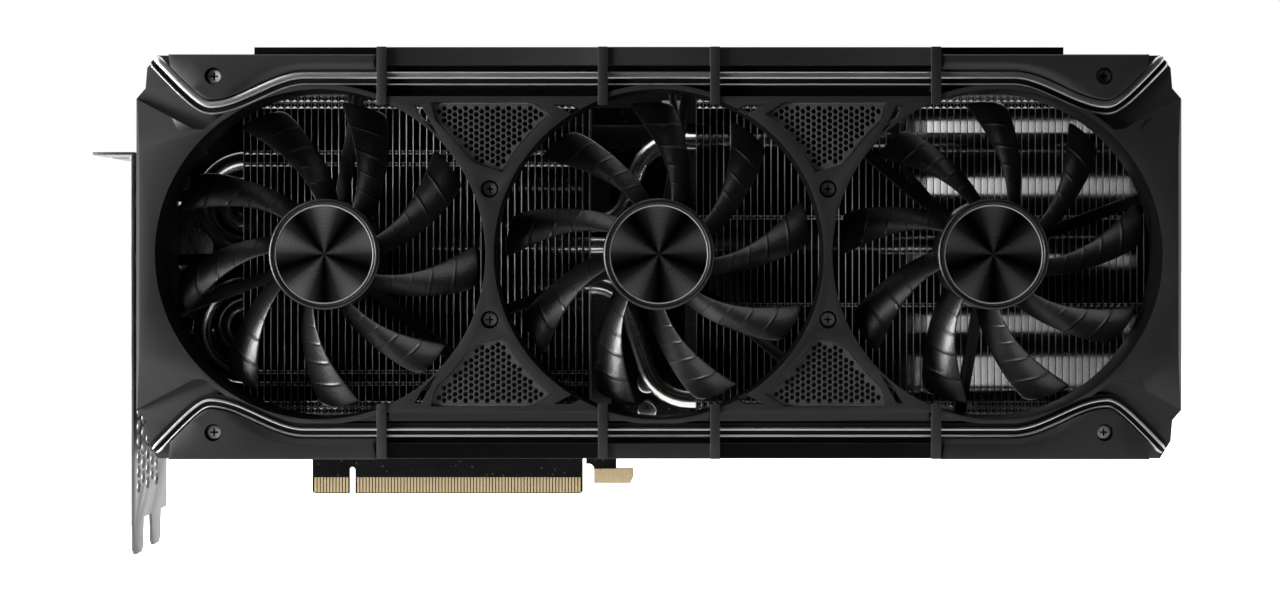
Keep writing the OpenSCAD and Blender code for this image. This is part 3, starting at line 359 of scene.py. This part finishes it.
M = {
    "textured": plastic("textured_black", grey(0.0075), grey(0.0125), (0.44, 0.56), 2400, 0.06, 0.32),
    "satin": plastic("satin_black", grey(0.009), grey(0.014), (0.4, 0.5), 3400, 0.015, 0.35),
    "gloss": plastic("blade_black", grey(0.002), grey(0.0042), (0.28, 0.4), 1700, 0.22, 0.55),
    "channel": channel_finish(),
    "insert": plastic("insert_black", grey(0.036), grey(0.054), (0.32, 0.42), 3800, 0.012, 0.5),
    # The edge look is a painted highlight: light grey on bevels and rims, where light would catch them.
    "edge": plastic("painted_edge_highlight", grey(0.14), grey(0.3), (0.22, 0.34), 1800, 0.02, 0.5),
    # The pit look is painted shade: near black for the floors of dimples and grooves.
    "painted_pit_shade": plastic("pit_black_painted_shade", grey(0.001), grey(0.002), (0.5, 0.6), 2000, 0.02, 0.15),
    # The duct look is painted shade: a darker copy of the shroud's black for the inner walls of the fan
    # openings.
    "painted_duct_shade": plastic("duct_painted_shade", grey(0.0015), grey(0.003), (0.5, 0.6), 2400, 0.04, 0.06),
    # The inner look is painted shade: a darker copy of the black plastic for recesses and parts deep inside.
    "inner": plastic("inner_black", grey(0.003), grey(0.005), (0.4, 0.5), 2000, 0.03, 0.3),
    "chrome": metal("dark_chrome", grey(0.5), grey(0.6), (0.28, 0.36), (0.04, 1, 1), 2400, 0.05),
    "aluminium": metal(
        "fin_aluminium", grey(0.72), grey(0.94), (0.4, 0.56), (1, 1, 0.08), 3200, 0.12, spots=0.25),
    # The fin side looks are painted shade and painted light: the same aluminium, darker for the left stack's
    # fin faces and brighter for the right stack's.
    "shaded": metal("fin_side_painted_shade", grey(0.1), grey(0.16), (0.3, 0.42), (1, 1, 0.08), 3200, 0.12, spots=0.25),
    "aluminium_painted_light": metal(
        "fin_side_painted_light", grey(0.26), grey(0.4), (0.14, 0.24), (1, 1, 0.08), 3200, 0.08, spots=0.15),
    # The flange look is painted shade: the aluminium darker on the fins' upward and downward faces.
    "flange": metal("fin_flange_painted_shade", grey(0.14), grey(0.24), (0.3, 0.42), (1, 0.06, 1), 900, 0.12, spots=0.2),
    "folded": metal("fin_fold", grey(0.88), grey(0.96), (0.3, 0.5), (1, 1, 1), 2600, 0.05),
    "nickel": metal(
        "nickel_plate", tint(0.66, 0.65, 0.63), tint(0.82, 0.81, 0.79), (0.14, 0.24), (0.2, 1, 1), 900, 0.06),
    "steel": metal(
        "bracket_steel", tint(0.1, 0.1, 0.098), tint(0.15, 0.15, 0.147), (0.26, 0.42),
        (1, 1, 0.05), 2600, 0.2),
    "shell": metal("port_shell", grey(0.42), grey(0.56), (0.18, 0.3), (1, 1, 0.1), 2200, 0.08),
    "screw": metal("black_screw", grey(0.32), grey(0.45), (0.34, 0.46), (1, 1, 1), 2600, 0.1),
    "bright_screw": metal("bright_screw", grey(0.86), grey(0.95), (0.45, 0.6), (1, 1, 1), 2600, 0.1),
    "copper": metal(
        "copper", tint(0.6, 0.28, 0.16), tint(0.78, 0.4, 0.26), (0.25, 0.42),
        (0.1, 1, 1), 1800, 0.2, spots=0.4),
    "backplate": metal("brushed_black", grey(0.02), grey(0.045), (0.3, 0.46), (0.03, 1, 1), 3000, 0.15),
    "gold": metal(
        "gold_contact", tint(0.62, 0.48, 0.27), tint(0.74, 0.6, 0.37), (0.2, 0.3), (1, 1, 0.1), 4000, 0.06),
    "can": metal("can_aluminium", grey(0.5), grey(0.66), (0.16, 0.28), (1, 1, 1), 1500, 0.05),
    "spun": spun_metal_painted_highlight(),
    "board": board_finish(),
    "ferrite": plastic("ferrite", grey(0.03), grey(0.05), (0.55, 0.7), 1800, 0.05),
    "resin": plastic("chip_resin", grey(0.012), grey(0.02), (0.4, 0.5), 4200, 0.01),
    "silicon": metal(
        "polished_die", tint(0.2, 0.21, 0.25), tint(0.28, 0.29, 0.33), (0.05, 0.1), (1, 1, 1), 600, 0.01),
    "pad": plastic("thermal_pad", tint(0.26, 0.3, 0.36), tint(0.36, 0.4, 0.46), (0.7, 0.85), 900, 0.08),
    "lead": plastic("lead_sleeve", grey(0.008), grey(0.014), (0.45, 0.6), 1600, 0.03),
    "header": plastic("header_nylon", tint(0.5, 0.49, 0.44), tint(0.6, 0.59, 0.54), (0.4, 0.55), 2200, 0.02),
    "magnet": plastic("bonded_magnet", grey(0.02), grey(0.035), (0.5, 0.62), 1500, 0.05),
    "bronze": metal(
        "bearing_bronze", tint(0.42, 0.26, 0.12), tint(0.56, 0.38, 0.2), (0.3, 0.45),
        (1, 0.1, 1), 2200, 0.15),
    "shaft": metal("ground_steel", grey(0.55), grey(0.68), (0.1, 0.18), (1, 0.1, 1), 3000, 0.03),
}


# ---- mesh helpers ----



def lift(shape, name, material, body, nodes=(), origin=None, sharp=35.0):
    """Turns a bmesh into a piece that rides on a body and stands for some CAD nodes."""
    bmesh.ops.recalc_face_normals(shape, faces=shape.faces)
    mesh = bpy.data.meshes.new(name)
    shape.to_mesh(mesh)
    shape.free()
    made = bpy.data.objects.new(name, mesh)
    scene.collection.objects.link(made)
    if origin is not None:
        made.location = origin
    for one in material if isinstance(material, (list, tuple)) else (material,):
        mesh.materials.append(M[one])
    mesh.shade_smooth()
    mesh.set_sharp_from_angle(angle=math.radians(sharp))
    bpy.context.view_layer.update()
    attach(made, body)
    if nodes:
        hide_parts(*nodes)
    return made


def applied(made):
    """Applies every modifier on a piece."""
    graph = bpy.context.evaluated_depsgraph_get()
    mesh = bpy.data.meshes.new_from_object(made.evaluated_get(graph))
    made.modifiers.clear()
    made.data = mesh
    return made


def softened(node, width, material, body="root", segments=2, angle=32.0, name=None):
    """A copy of a CAD node with its sharp edges rounded, so that they catch the light."""
    shape = bmesh.new()
    shape.from_mesh(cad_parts[node].data)
    bmesh.ops.remove_doubles(shape, verts=shape.verts, dist=0.000002)
    bmesh.ops.dissolve_limit(shape, angle_limit=math.radians(0.4), verts=shape.verts, edges=shape.edges)
    mesh = bpy.data.meshes.new(node)
    shape.to_mesh(mesh)
    shape.free()
    made = bpy.data.objects.new(name or node + "_skin", mesh)
    scene.collection.objects.link(made)
    rounding = made.modifiers.new("rounding", "BEVEL")
    rounding.width = width * MM
    rounding.segments = segments
    rounding.limit_method = "ANGLE"
    rounding.angle_limit = math.radians(angle)
    rounding.harden_normals = False
    rounding.use_clamp_overlap = True
    applied(made)
    made.data.materials.clear()
    made.data.materials.append(M[material])
    made.data.shade_smooth()
    made.data.set_sharp_from_angle(angle=math.radians(angle))
    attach(made, body)
    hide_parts(node)
    return made


def finish_node(node, material):
    """Gives a CAD node that stays as it is a finished material."""
    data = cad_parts[node].data
    data.materials.clear()
    data.materials.append(M[material])


def spin(shape, profile, centre, steps=96, material=0):
    """Turns a profile of (radius, y) points about a line along Y."""
    rings = []
    for radius, y in profile:
        ring = []
        for step in range(steps if radius > 0 else 1):
            angle = TAU * step / steps
            ring.append(shape.verts.new(
                (centre[0] + radius * math.cos(angle), y, centre[2] + radius * math.sin(angle))))
        rings.append(ring)
    for first, second in zip(rings, rings[1:]):
        for step in range(steps):
            following = (step + 1) % steps
            corners = [first[step % len(first)], first[following % len(first)],
                       second[following % len(second)], second[step % len(second)]]
            corners = list(dict.fromkeys(corners))
            if len(corners) > 2:
                shape.faces.new(corners).material_index = material
    return rings


def slab(shape, low, high, material=0):
    """A box between two corners."""
    made = bmesh.ops.create_cube(shape, size=1)["verts"]
    for vertex in made:
        vertex.co = Vector([low[i] + (vertex.co[i] + 0.5) * (high[i] - low[i]) for i in range(3)])
    for face in {face for vertex in made for face in vertex.link_faces}:
        face.material_index = material
    return made


def circle(u, v, radius, steps=24):
    return [
        (u + radius * math.cos(TAU * k / steps), v + radius * math.sin(TAU * k / steps))
        for k in range(steps)]


def relief(shape, put, outline, wells=(), extra=(), height=None, foot=None,
           material=0, well_material=1, floor_material=None):
    """A plate from its outline: a triangulated front with wells sunk into it, and a rim back to its foot.

    put(u, v, y) makes a vertex. A well is (loop, [(scale, y), ...]), with each ring scaled about
    the loop's centre."""
    points = [Vector(p) for p in outline]
    loops = [list(range(len(outline)))]
    for loop, _ in wells:
        loops.append(list(range(len(points), len(points) + len(loop))))
        points += [Vector(p) for p in loop]
    points += [Vector(p) for p in extra]
    flat, _, faces, _, _, origin = delaunay_2d_cdt(points, [], loops, 1, 1e-5)
    sheet = [put(p.x, p.y, height(p.x, p.y)) for p in flat]
    near = {(round(p.x, 3), round(p.y, 3)): vertex for p, vertex in zip(flat, sheet)}
    for face, source in zip(faces, origin):
        if source == [0]:
            shape.faces.new([sheet[i] for i in face]).material_index = material
    for loop, steps in wells:
        middle = sum((Vector(p) for p in loop), Vector((0, 0))) / len(loop)
        rings = [[near[(round(u, 3), round(v, 3))] for u, v in loop]]
        for scale, y in steps:
            rings.append([put(*(middle + (Vector(p) - middle) * scale), y) for p in loop])
        for a, b in zip(rings, rings[1:]):
            for k in range(len(a)):
                n = (k + 1) % len(a)
                shape.faces.new((a[k], a[n], b[n], b[k])).material_index = well_material
        floor_look = well_material if floor_material is None else floor_material
        shape.faces.new(rings[-1]).material_index = floor_look
    if foot is not None:
        top = [near[(round(u, 3), round(v, 3))] for u, v in outline]
        low = [put(u, v, foot) for u, v in outline]
        for k in range(len(top)):
            n = (k + 1) % len(top)
            shape.faces.new((top[k], top[n], low[n], low[k])).material_index = material
        shape.faces.new(low).material_index = material
    return near


def shrunk(outline, by):
    """An outline moved inwards by a distance."""
    count = len(outline)
    area = sum(outline[i][0] * outline[(i + 1) % count][1] - outline[(i + 1) % count][0] * outline[i][1]
               for i in range(count))
    side = 1 if area > 0 else -1
    moved = []
    for i in range(count):
        before, here, after = (Vector(outline[(i + k) % count]) for k in (-1, 0, 1))
        first, second = (here - before).normalized(), (after - here).normalized()
        inward = (Vector((-first.y, first.x)) + Vector((-second.y, second.x))) * side
        inward = inward.normalized() / max(0.4, inward.length / 2)
        moved.append(tuple(here + inward * by))
    return moved


# ---- fans ----

FANS = (("left", -PITCH, -21.3), ("centre", 0.0, -3.8), ("right", PITCH, -4.6))
ROOT_R, TIP_R = 0.0159, 0.045
RIBS = (0.0215, 0.0266, 0.0321, 0.0386)


def blade_point(t, c, side):
    """A point of one blade: t runs out along it, c from its leading to its trailing edge."""
    lead = 26 * t + 3 * t * t - 4 * t ** 4
    trail = -19 + 38.5 * t - 13 * t * t + 2.5 * t ** 8
    cut = max(0.0, t - 0.95) * 20
    rounding = 0.2 * (1 - math.sqrt(max(0.0, 1 - cut * cut)))
    share = rounding / 2 + c * (1 - rounding)
    radius = ROOT_R + t * (TIP_R - ROOT_R)
    angle = math.radians(lead + share * (trail - lead))
    belly = math.sin(math.pi * min(max(c, 0.0), 1.0))
    depth = 9.2 * (1 - 0.25 * t)
    crown = 1.25 * belly * (0.4 + 0.6 * t)
    half = (0.95 - 0.5 * t) * (0.2 + 0.8 * belly ** 0.5)
    y = -45.9 + 0.9 + 0.6 * t + depth * share - crown + side * half
    if side < 0:
        ridge = max(math.exp(-((radius - rib) / 0.00028) ** 2) for rib in RIBS)
        y -= 0.22 * ridge * min(1.0, belly * 2.5)
    return Vector((radius * math.cos(angle), y * MM, radius * math.sin(angle)))


def add_blade(shape, turn):
    steps = sorted(set([i / 34 for i in range(35)] + [0.955, 0.965, 0.98, 0.99, 0.995] + [
        (rib + off - ROOT_R) / (TIP_R - ROOT_R)
        for rib in RIBS for off in (-0.0006, -0.0003, 0, 0.0003, 0.0006)]))
    across = [0, 0.02, 0.06] + [0.1 + 0.8 * i / 12 for i in range(13)] + [0.94, 0.98, 1]
    spin_by = Matrix.Rotation(-math.radians(turn), 3, "Y")
    sheets = [
        [[shape.verts.new(spin_by @ blade_point(t, c, side)) for c in across] for t in steps]
        for side in (-1, 1)]
    for sheet in sheets:
        for first, second in zip(sheet, sheet[1:]):
            for k in range(len(across) - 1):
                shape.faces.new((first[k], first[k + 1], second[k + 1], second[k]))
    front, back = sheets
    for k in range(len(across) - 1):
        for row in (0, -1):
            shape.faces.new((front[row][k], front[row][k + 1], back[row][k + 1], back[row][k]))
    for row in range(len(steps) - 1):
        for k in (0, -1):
            shape.faces.new((front[row][k], front[row + 1][k], back[row + 1][k], back[row][k]))


def impeller(side, offset, start):
    shape = bmesh.new()
    for k in range(9):
        add_blade(shape, start + 40 * k)
    cup = [(0.0, -44.75), (14.7, -44.75), (14.85, -44.85), (14.95, -45.25), (15.1, -45.4), (15.75, -45.4),
           (16.15, -45.25), (16.4, -44.8), (16.4, -35.4), (16.2, -35.2), (15.4, -35.2), (15.2, -35.4),
           (15.2, -43.6), (4.2, -43.6),
           (4.2, -41.6), (1.6, -41.6), (1.6, -43.0), (0.0, -43.0)]
    spin(shape, [(r * MM, y * MM) for r, y in cup], (0, 0, 0), 128)
    lift(shape, side + "_impeller_skin", "gloss", side + "_rotor", [side + "_impeller"],
         origin=(MID.x + offset, 0, MID.z), sharp=50)


def hub_disc(side, offset):
    """The spun metal cap: a chamfer round a face with a very shallow dish, the chamfer painted light grey as
    a painted highlight.
    """
    shape = bmesh.new()
    face = [(0.0, -44.86)] + [(14.2 * k / 10, -44.86 - 0.06 * (k / 10) ** 2) for k in range(1, 11)]
    rim = [(14.2, -44.92), (14.25, -45.0), (14.4, -45.05), (14.6, -44.98), (14.68, -44.9),
           (14.68, -44.76), (0.0, -44.76)]
    spin(shape, [(r * MM, y * MM) for r, y in face], (0, 0, 0), 160)
    spin(shape, [(r * MM, y * MM) for r, y in rim], (0, 0, 0), 160, 1)
    lift(shape, side + "_hub_disc_skin", ["spun", "edge"], side + "_rotor", [side + "_hub_disc"],
         origin=(MID.x + offset, 0, MID.z), sharp=60)


for side, offset, start in FANS:
    impeller(side, offset, start)
    hub_disc(side, offset)
    # The motor mount gets the inner look: painted shade, darker than the shroud's black.
    softened(side + "_motor_mount", 0.25, "inner")
    softened(side + "_stator", 0.12, "copper")
    softened(side + "_shaft", 0.1, "shaft", side + "_rotor")
    softened(side + "_magnet_ring", 0.12, "magnet", side + "_rotor")
    softened(side + "_bearing", 0.1, "bronze")


# ---- dimpled inserts between the fans ----

def insert_edge(grow=0.0):
    """The outline of the upper right insert from the shroud's centre, in millimetres."""
    corners = [(66.3, 44.2), (36.3, 44.2), (30.7, 40.6), (45, 23.6), (53.9, 26.6), (64.6, 37.6)]
    walk = []
    for i, here in enumerate(corners):
        after = corners[(i + 1) % len(corners)]
        walk += [tuple(Vector(here).lerp(Vector(after), k / 10)) for k in range(10)]
    edge = []
    for u, v in walk:
        point = Vector((u, v))
        for middle in (Vector((0, 0)), Vector((98.4, 0))):
            reach = 51.3 - grow
            if (point - middle).length < reach:
                point = middle + (point - middle).normalized() * reach
        if not edge or (point - edge[-1]).length > 0.25:
            edge.append(point)
    return [tuple(p) for p in edge]


def inside(point, edge):
    """How far a point lies inside an outline, or less than zero outside it."""
    x, y = point
    odd = False
    nearest = 1e9
    for i, a in enumerate(edge):
        b = edge[(i + 1) % len(edge)]
        if (a[1] > y) != (b[1] > y) and x < (b[0] - a[0]) * (y - a[1]) / (b[1] - a[1]) + a[0]:
            odd = not odd
        run = Vector((b[0] - a[0], b[1] - a[1]))
        along = max(0.0, min(1.0, (Vector(point) - Vector(a)).dot(run) / run.length_squared))
        nearest = min(nearest, (Vector(point) - Vector(a) - run * along).length)
    return nearest if odd else -nearest


def insert(shape, flip_u, flip_v):
    """One insert: a thin bevelled edge round a field of hexagonally packed dimples; the bevel is painted
    light grey as a painted highlight, and the dimple floors near black as painted shade.
    """
    edge = insert_edge()
    field = shrunk(edge, 0.45)
    face, foot = -50.75, -48.55
    wells = []
    for column in range(32):
        for row in range(20):
            u, v = 27.9 + column * 1.57, 19 + row * 1.81 + (0.905 if column % 2 else 0)
            if inside((u, v), field) > 0.7:
                wells.append((circle(u, v, 0.92, 6), [(0.86, face + 0.3), (0.72, face + 0.7)]))

    def put(u, v, y):
        return shape.verts.new((MID.x + flip_u * u * MM, y * MM, MID.z + flip_v * v * MM))

    near = relief(shape, put, field, wells, height=lambda u, v: face, well_material=0, floor_material=1)
    levels = [[near[(round(u, 3), round(v, 3))] for u, v in field]]
    for ring, y in ((edge, face + 0.45), (edge, foot)):
        levels.append([put(u, v, y) for u, v in ring])
    for a, b in zip(levels, levels[1:]):
        for k in range(len(a)):
            n = (k + 1) % len(a)
            # The first band, the bevel, gets the edge look: a painted highlight.
            shape.faces.new((a[k], a[n], b[n], b[k])).material_index = 2 if a is levels[0] else 0
    shape.faces.new(levels[-1][::-1])


for level, flip_v in (("upper", 1), ("lower", -1)):
    grid = bmesh.new()
    for flip_u in (-1, 1):
        insert(grid, flip_u, flip_v)
    # Dimple floors get the pit look, painted shade; the bevel gets the edge look, a painted highlight.
    lift(grid, "mesh_inserts_" + level + "_skin", ["insert", "painted_pit_shade", "edge"], "root",
         ["mesh_inserts_" + level], sharp=40)


# ---- chrome trim strips ----

def trim_height(u):
    """Height of a strip's centre line above the shroud's centre, in millimetres."""
    if u > 130.5:
        return 42.7 - 5 + math.hypot(5, 1.1 * (u - 130.5))
    t = max(0.0, min(1.0, (130.5 - u) / 27.5))
    return 42.7 + 8.5 * t * t * (3 - 2 * t)


# Each section is a list of (height, level) points, with the numbers of its sides painted near black as
# painted shade
UPPER_SECTION = ([
    (-2.0, -48.55), (-2.0, -50.1), (-1.92, -50.3), (-1.7, -50.45), (-1.45, -50.3), (-1.35, -50.1),
    (-1.3, -49.8),
    (-0.2, -49.8), (-0.14, -50.5), (0.02, -50.75), (0.3, -50.9), (0.95, -51.0), (1.6, -50.9), (1.9, -50.7),
    (2.05, -50.3), (2.05, -48.55)], (5, 6, 7))
LOWER_SECTION = ([
    (-2.0, -48.55), (-2.0, -49.8), (-0.85, -49.8), (-0.78, -50.3), (-0.6, -50.75), (-0.3, -50.85),
    (0.0, -50.75),
    (0.12, -50.4), (0.15, -49.8), (1.2, -49.8), (1.25, -50.5), (1.4, -50.85), (1.65, -50.95), (1.9, -50.8),
    (2.05, -50.3), (2.05, -48.55)], (0, 1, 2, 7, 8, 9))


def trim_strip(node, flip, section, dark):
    """Polished bands with a groove between them, along one dipping line; the groove's floor and walls are
    painted near black as painted shade.
    """
    stops = [103 + 44.4 * k / 52 for k in range(53)]
    stops = [-u for u in reversed(stops)] + [103 * k / 20 for k in range(-19, 20)] + stops
    shape = bmesh.new()
    rings = []
    for u in stops:
        slope = (trim_height(abs(u) + 0.05) - trim_height(abs(u) - 0.05)) / 0.1 * (1 if u > 0 else -1)
        length = math.hypot(1, slope)
        ring = []
        near_end = max(0.0, abs(u) - 146.4)
        for s, y in section:
            drawn = s * (1 - 0.25 * near_end ** 2)
            y = y + (0.7 * near_end ** 2 if y < -49.5 else 0)
            px, pz = u - drawn * slope / length, trim_height(abs(u)) + drawn / length
            ring.append(shape.verts.new((MID.x + px * MM, y * MM, MID.z + flip * pz * MM)))
        rings.append(ring)
    for first, second in zip(rings, rings[1:]):
        for k in range(len(section)):
            n = (k + 1) % len(section)
            made = shape.faces.new((first[k], first[n], second[n], second[k]))
            # Groove faces get the pit look: painted shade.
            made.material_index = 1 if k in dark else 0
    shape.faces.new(rings[0])
    shape.faces.new(rings[-1][::-1])
    lift(shape, node + "_skin", ["chrome", "painted_pit_shade"], "root", [node], sharp=50)


trim_strip("top_trim_strip", 1, *UPPER_SECTION)
trim_strip("bottom_trim_strip", -1, *LOWER_SECTION)


# ---- shroud, frames, plates and screws ----

# Levels and sizes that pick the faces of the CAD shapes, in metres
SUNK_BACK, SUNK_FRONT = -0.0480, -0.0490
APERTURE_RADIUS = 0.0484
BAY_INNER, BAY_OUTER = 0.0176, 0.0794
RIB_FRONT = -0.0515

shroud = softened("front_shroud", 0.35, "textured", segments=3, angle=24)
shroud.data.materials.append(M["channel"])
shroud.data.materials.append(M["painted_duct_shade"])
for face in shroud.data.polygons:
    sunk = face.normal.y < -0.9 and SUNK_FRONT < face.center.y < SUNK_BACK
    # Inner walls of the fan openings get the darker duct look: painted shade.
    painted_duct_shade = abs(face.normal.y) < 0.3 and any(
        math.hypot(face.center.x - MID.x - offset, face.center.z - MID.z) < APERTURE_RADIUS
        for _, offset, _ in FANS)
    face.material_index = 2 if painted_duct_shade else 1 if sunk else 0
softened("top_cross_frame", 0.25, "textured")
lower_frame = softened("bottom_cross_frame", 0.25, "textured")
lower_frame.data.materials.append(M["channel"])
for face in lower_frame.data.polygons:
    bay = BAY_INNER < abs(face.center.x - MID.x) < BAY_OUTER
    if bay and face.normal.y < -0.9 and face.center.y > RIB_FRONT:
        face.material_index = 1


def crease_height(u):
    """Height of the crease in a corner plate, where its front starts to fall towards the strip."""
    stops = ((82.0, 56.1), (99.8, 56.1), (108, 55.4), (113.2, 54.4), (122.2, 50.3), (126, 48.0), (200, 48.0))
    for (a, low), (b, high) in zip(stops, stops[1:]):
        if u <= b:
            return low + (high - low) * (u - a) / (b - a)
    return 48.0


def corner_plate(node, flip_u, flip_v):
    """A flat corner cover whose lower edge falls away, past a crease, to the strip beside it."""
    shape = bmesh.new()
    top = 58.1 if flip_v > 0 else 59.6

    def low_at(u):
        slope = (trim_height(u + 0.05) - trim_height(u - 0.05)) / 0.1
        return trim_height(u) + 2.3 * math.hypot(1, slope)

    def put(u, v, y):
        return shape.verts.new((MID.x + flip_u * u * MM, y * MM, MID.z + flip_v * v * MM))

    def height(u, v):
        crease = crease_height(u)
        fade = max(0.0, min(1.0, (126 - u) / 10))
        share = max(0.0, min(1.0, (crease - v) / max(0.5, crease - low_at(u))))
        edge = max(0.0, 0.35 - min(v - low_at(u), top - v, u - 82.1)) / 0.35
        return -52 + 1.7 * fade * share ** 1.4 + 0.25 * min(1.0, edge) ** 2

    lower = [(u, low_at(u)) for u in [82.1 + 59.9 * k / 70 for k in range(71)] if low_at(u) < top - 0.7]
    outline = lower + [(lower[-1][0] + 0.5, top), (82.1, top)]
    well = circle(129.5, 51.8, 2.5, 32)
    extra = []
    for u, low in lower[1:-1]:
        crease = crease_height(u)
        for v in ([low + 0.35 * k / 2 for k in (1, 2)]
                  + [low + (crease - low) * k / 6 for k in range(2, 7)] + [top - 0.35]):
            if low + 0.1 < v < top - 0.1 and math.hypot(u - 129.5, v - 51.8) > 2.8:
                extra.append((u, v))
    # The screw well's walls get the inner look: painted shade in the recess.
    relief(shape, put, outline, [(well, [(1.0, -50.0), (1.0, -48.6)])], extra, height, -48.52)
    lift(shape, node + "_skin", ["satin", "inner"], "root", [node], sharp=28)


corner_plate("corner_plate_top_left", -1, 1)
corner_plate("corner_plate_top_right", 1, 1)
corner_plate("corner_plate_bottom_left", -1, -1)
corner_plate("corner_plate_bottom_right", 1, -1)


def screw_head(shape, x, z, face, facing, radius, shank, tip):
    """A cross-head screw along Y: facing is -1 where its head looks to the front."""
    def put(u, v, y):
        return shape.verts.new((x + u * MM, (face - facing * y) * MM, z + v * MM))

    arm, half = radius * 0.52, radius * 0.13
    cross = [(arm, -half), (arm, half), (half, half), (half, arm), (-half, arm), (-half, half),
             (-arm, half), (-arm, -half),
             (-half, -half), (-half, -arm), (half, -arm), (half, -half)]
    top = circle(0, 0, radius * 0.86, 40)
    # The cross recess gets the second look, which is painted shade.
    near = relief(shape, put, top, [(cross, [(0.86, 0.5), (0.5, 0.75)])], height=lambda u, v: 0.0)
    rings = [[near[(round(u, 3), round(v, 3))] for u, v in top]]
    length = abs(tip - face)
    for scale, depth in ((0.95, 0.06), (0.99, 0.2), (1.0, 0.35), (1.0, 1.4),
                         (shank / radius, 1.4), (shank / radius, length)):
        rings.append([put(u / 0.86 * scale, v / 0.86 * scale, depth) for u, v in top])
    for a, b in zip(rings, rings[1:]):
        for k in range(len(a)):
            n = (k + 1) % len(a)
            shape.faces.new((a[k], a[n], b[n], b[k]))
    shape.faces.new(rings[-1])


def front_screws():
    """The eight screws of the shroud; the one at the top left is bright, the others are black."""
    dark, bright = bmesh.new(), bmesh.new()
    for flip_u in (-1, 1):
        for flip_v in (-1, 1):
            for u, v in ((49.2, 19.0), (129.5, 51.8)):
                shape = bright if (flip_u, flip_v, u) == (-1, 1, 129.5) else dark
                screw_head(shape, MID.x + flip_u * u * MM, MID.z + flip_v * v * MM,
                           -50.3, -1, 2.1, 1.2, -46.6)
    # The cross recesses get the inner look: painted shade.
    lift(dark, "shroud_screws_skin", ["screw", "inner"], "root", ["shroud_screws"], sharp=40)
    lift(bright, "shroud_screw_bright", ["bright_screw", "inner"], "root", sharp=40)


front_screws()
softened("motor_screws", 0.1, "screw")
softened("rear_screws", 0.14, "screw")
softened("bracket_screws", 0.12, "bright_screw")


# ---- heatsink ----

def fin_stack(node, x_range, side_look, collars, deep_from=None):
    """Thin fins with folded flanges, and rows of small bent tabs between them."""
    low, high = 27.0, 124.0
    front, back = -28.0, -8.6
    pitch, thick = 2.05, 0.26
    shape = bmesh.new()
    count = int((x_range[1] - x_range[0]) / pitch)
    for k in range(count + 1):
        x = x_range[0] + 0.25 + k * pitch
        rear = 0.0 if deep_from and x > deep_from else back
        slab(shape, (x * MM, front * MM, low * MM), ((x + thick) * MM, rear * MM, high * MM))
        if k == count:
            continue
        for z0, z1 in ((low, low + 0.34), (high - 0.34, high)):
            slab(shape, ((x + thick) * MM, front * MM, z0 * MM), ((x + pitch - 0.1) * MM, rear * MM, z1 * MM))
    shape.normal_update()
    # Fin faces get the side look and upward and downward faces the flange look: painted shade or painted
    # light on one aluminium.
    for face in shape.faces:
        if abs(face.normal.y) < 0.5:
            face.material_index = 1 if abs(face.normal.x) > 0.9 else 3
    for k in range(count):
        x = x_range[0] + 0.25 + k * pitch
        for middle in (low + 1.3, low + 3.3, high - 3.3, high - 1.3):
            chevron(shape, x + thick, x + pitch, front, middle, 0.95)
        for middle in collars:
            chevron(shape, x + thick, x + pitch, front + 0.5, middle, 0.6)
    lift(shape, node + "_skin", ["aluminium", side_look, "folded", "flange"], "root", [node], sharp=30)


def chevron(shape, x0, x1, y, z, half):
    """A folded tab between two fins, bent to a point."""
    middle = (x0 + x1) / 2
    for sign in (-1, 1):
        corners = [(x0, y, z + sign * half), (middle, y - 0.3, z + sign * half * 0.3),
                   (x1, y, z + sign * half), (middle, y + 0.5, z)]
        verts = [shape.verts.new(Vector(c) * MM) for c in corners]
        for a, b, c in ((0, 1, 3), (1, 2, 3), (0, 3, 2), (0, 2, 1)):
            shape.faces.new((verts[a], verts[b], verts[c])).material_index = 2


# The left stack's fin faces are painted darker and the right stack's brighter: painted shade and painted
# light.
fin_stack("fin_stack_left", (-29, 77), "shaded", (36.4, 40.0, 102.9, 106.5))
fin_stack("fin_stack_right", (108, 244), "aluminium_painted_light", (60.3, 86.8), 176)
for level in ("upper", "lower"):
    softened("heat_pipes_" + level, 0.4, "nickel", angle=40)
softened("cold_plate", 0.3, "nickel")
softened("heatsink_frame", 0.3, "backplate")


# ---- board and what stands on it ----

def cans():
    """Two aluminium can capacitors: a black base, a rolled neck, and a rounded top edge."""
    shape = bmesh.new()
    low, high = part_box("can_capacitors")
    radius = 3.1 * MM
    tall = high[1] - low[1]
    for z in (low[2] + radius, high[2] - radius):
        x = (low[0] + high[0]) / 2
        profile = [(0.0, 0.0), (0.78, 0.0), (0.92, 0.03), (0.985, 0.08), (1, 0.14), (1, 0.62),
                   (0.93, 0.66), (0.93, 0.7),
                   (1, 0.74), (1, 0.86)]
        spin(shape, [(r * radius, low[1] + y * tall) for r, y in profile], (x, 0, z), 64)
        spin(shape, [(r * radius, low[1] + y * tall)
                     for r, y in ((1.0, 0.86), (1.04, 0.88), (1.04, 1.0), (0, 1.0))],
             (x, 0, z), 64, 1)
    lift(shape, "can_capacitors_skin", ["can", "resin"], "root", ["can_capacitors"])


softened("circuit_board", 0.12, "board")
finish_node("edge_contacts", "gold")
for node, width, look in (
    ("gpu_package", 0.15, "silicon"), ("memory_chips", 0.1, "resin"), ("thermal_pads", 0.15, "pad"),
    ("chokes", 0.3, "ferrite"), ("power_stages", 0.08, "resin"), ("power_sockets", 0.2, "satin"),
    ("display_ports", 0.15, "shell"), ("hdmi_port", 0.15, "shell"), ("switch_body", 0.1, "steel"),
    ("switch_slider", 0.15, "header"), ("fan_headers", 0.15, "header"), ("fan_leads", 0.02, "lead"),
    ("backplate", 0.3, "backplate"), ("retention_spring", 0.15, "steel"), ("io_bracket", 0.2, "steel"),
):
    softened(node, width, look, "slider" if node == "switch_slider" else "root")
cans()
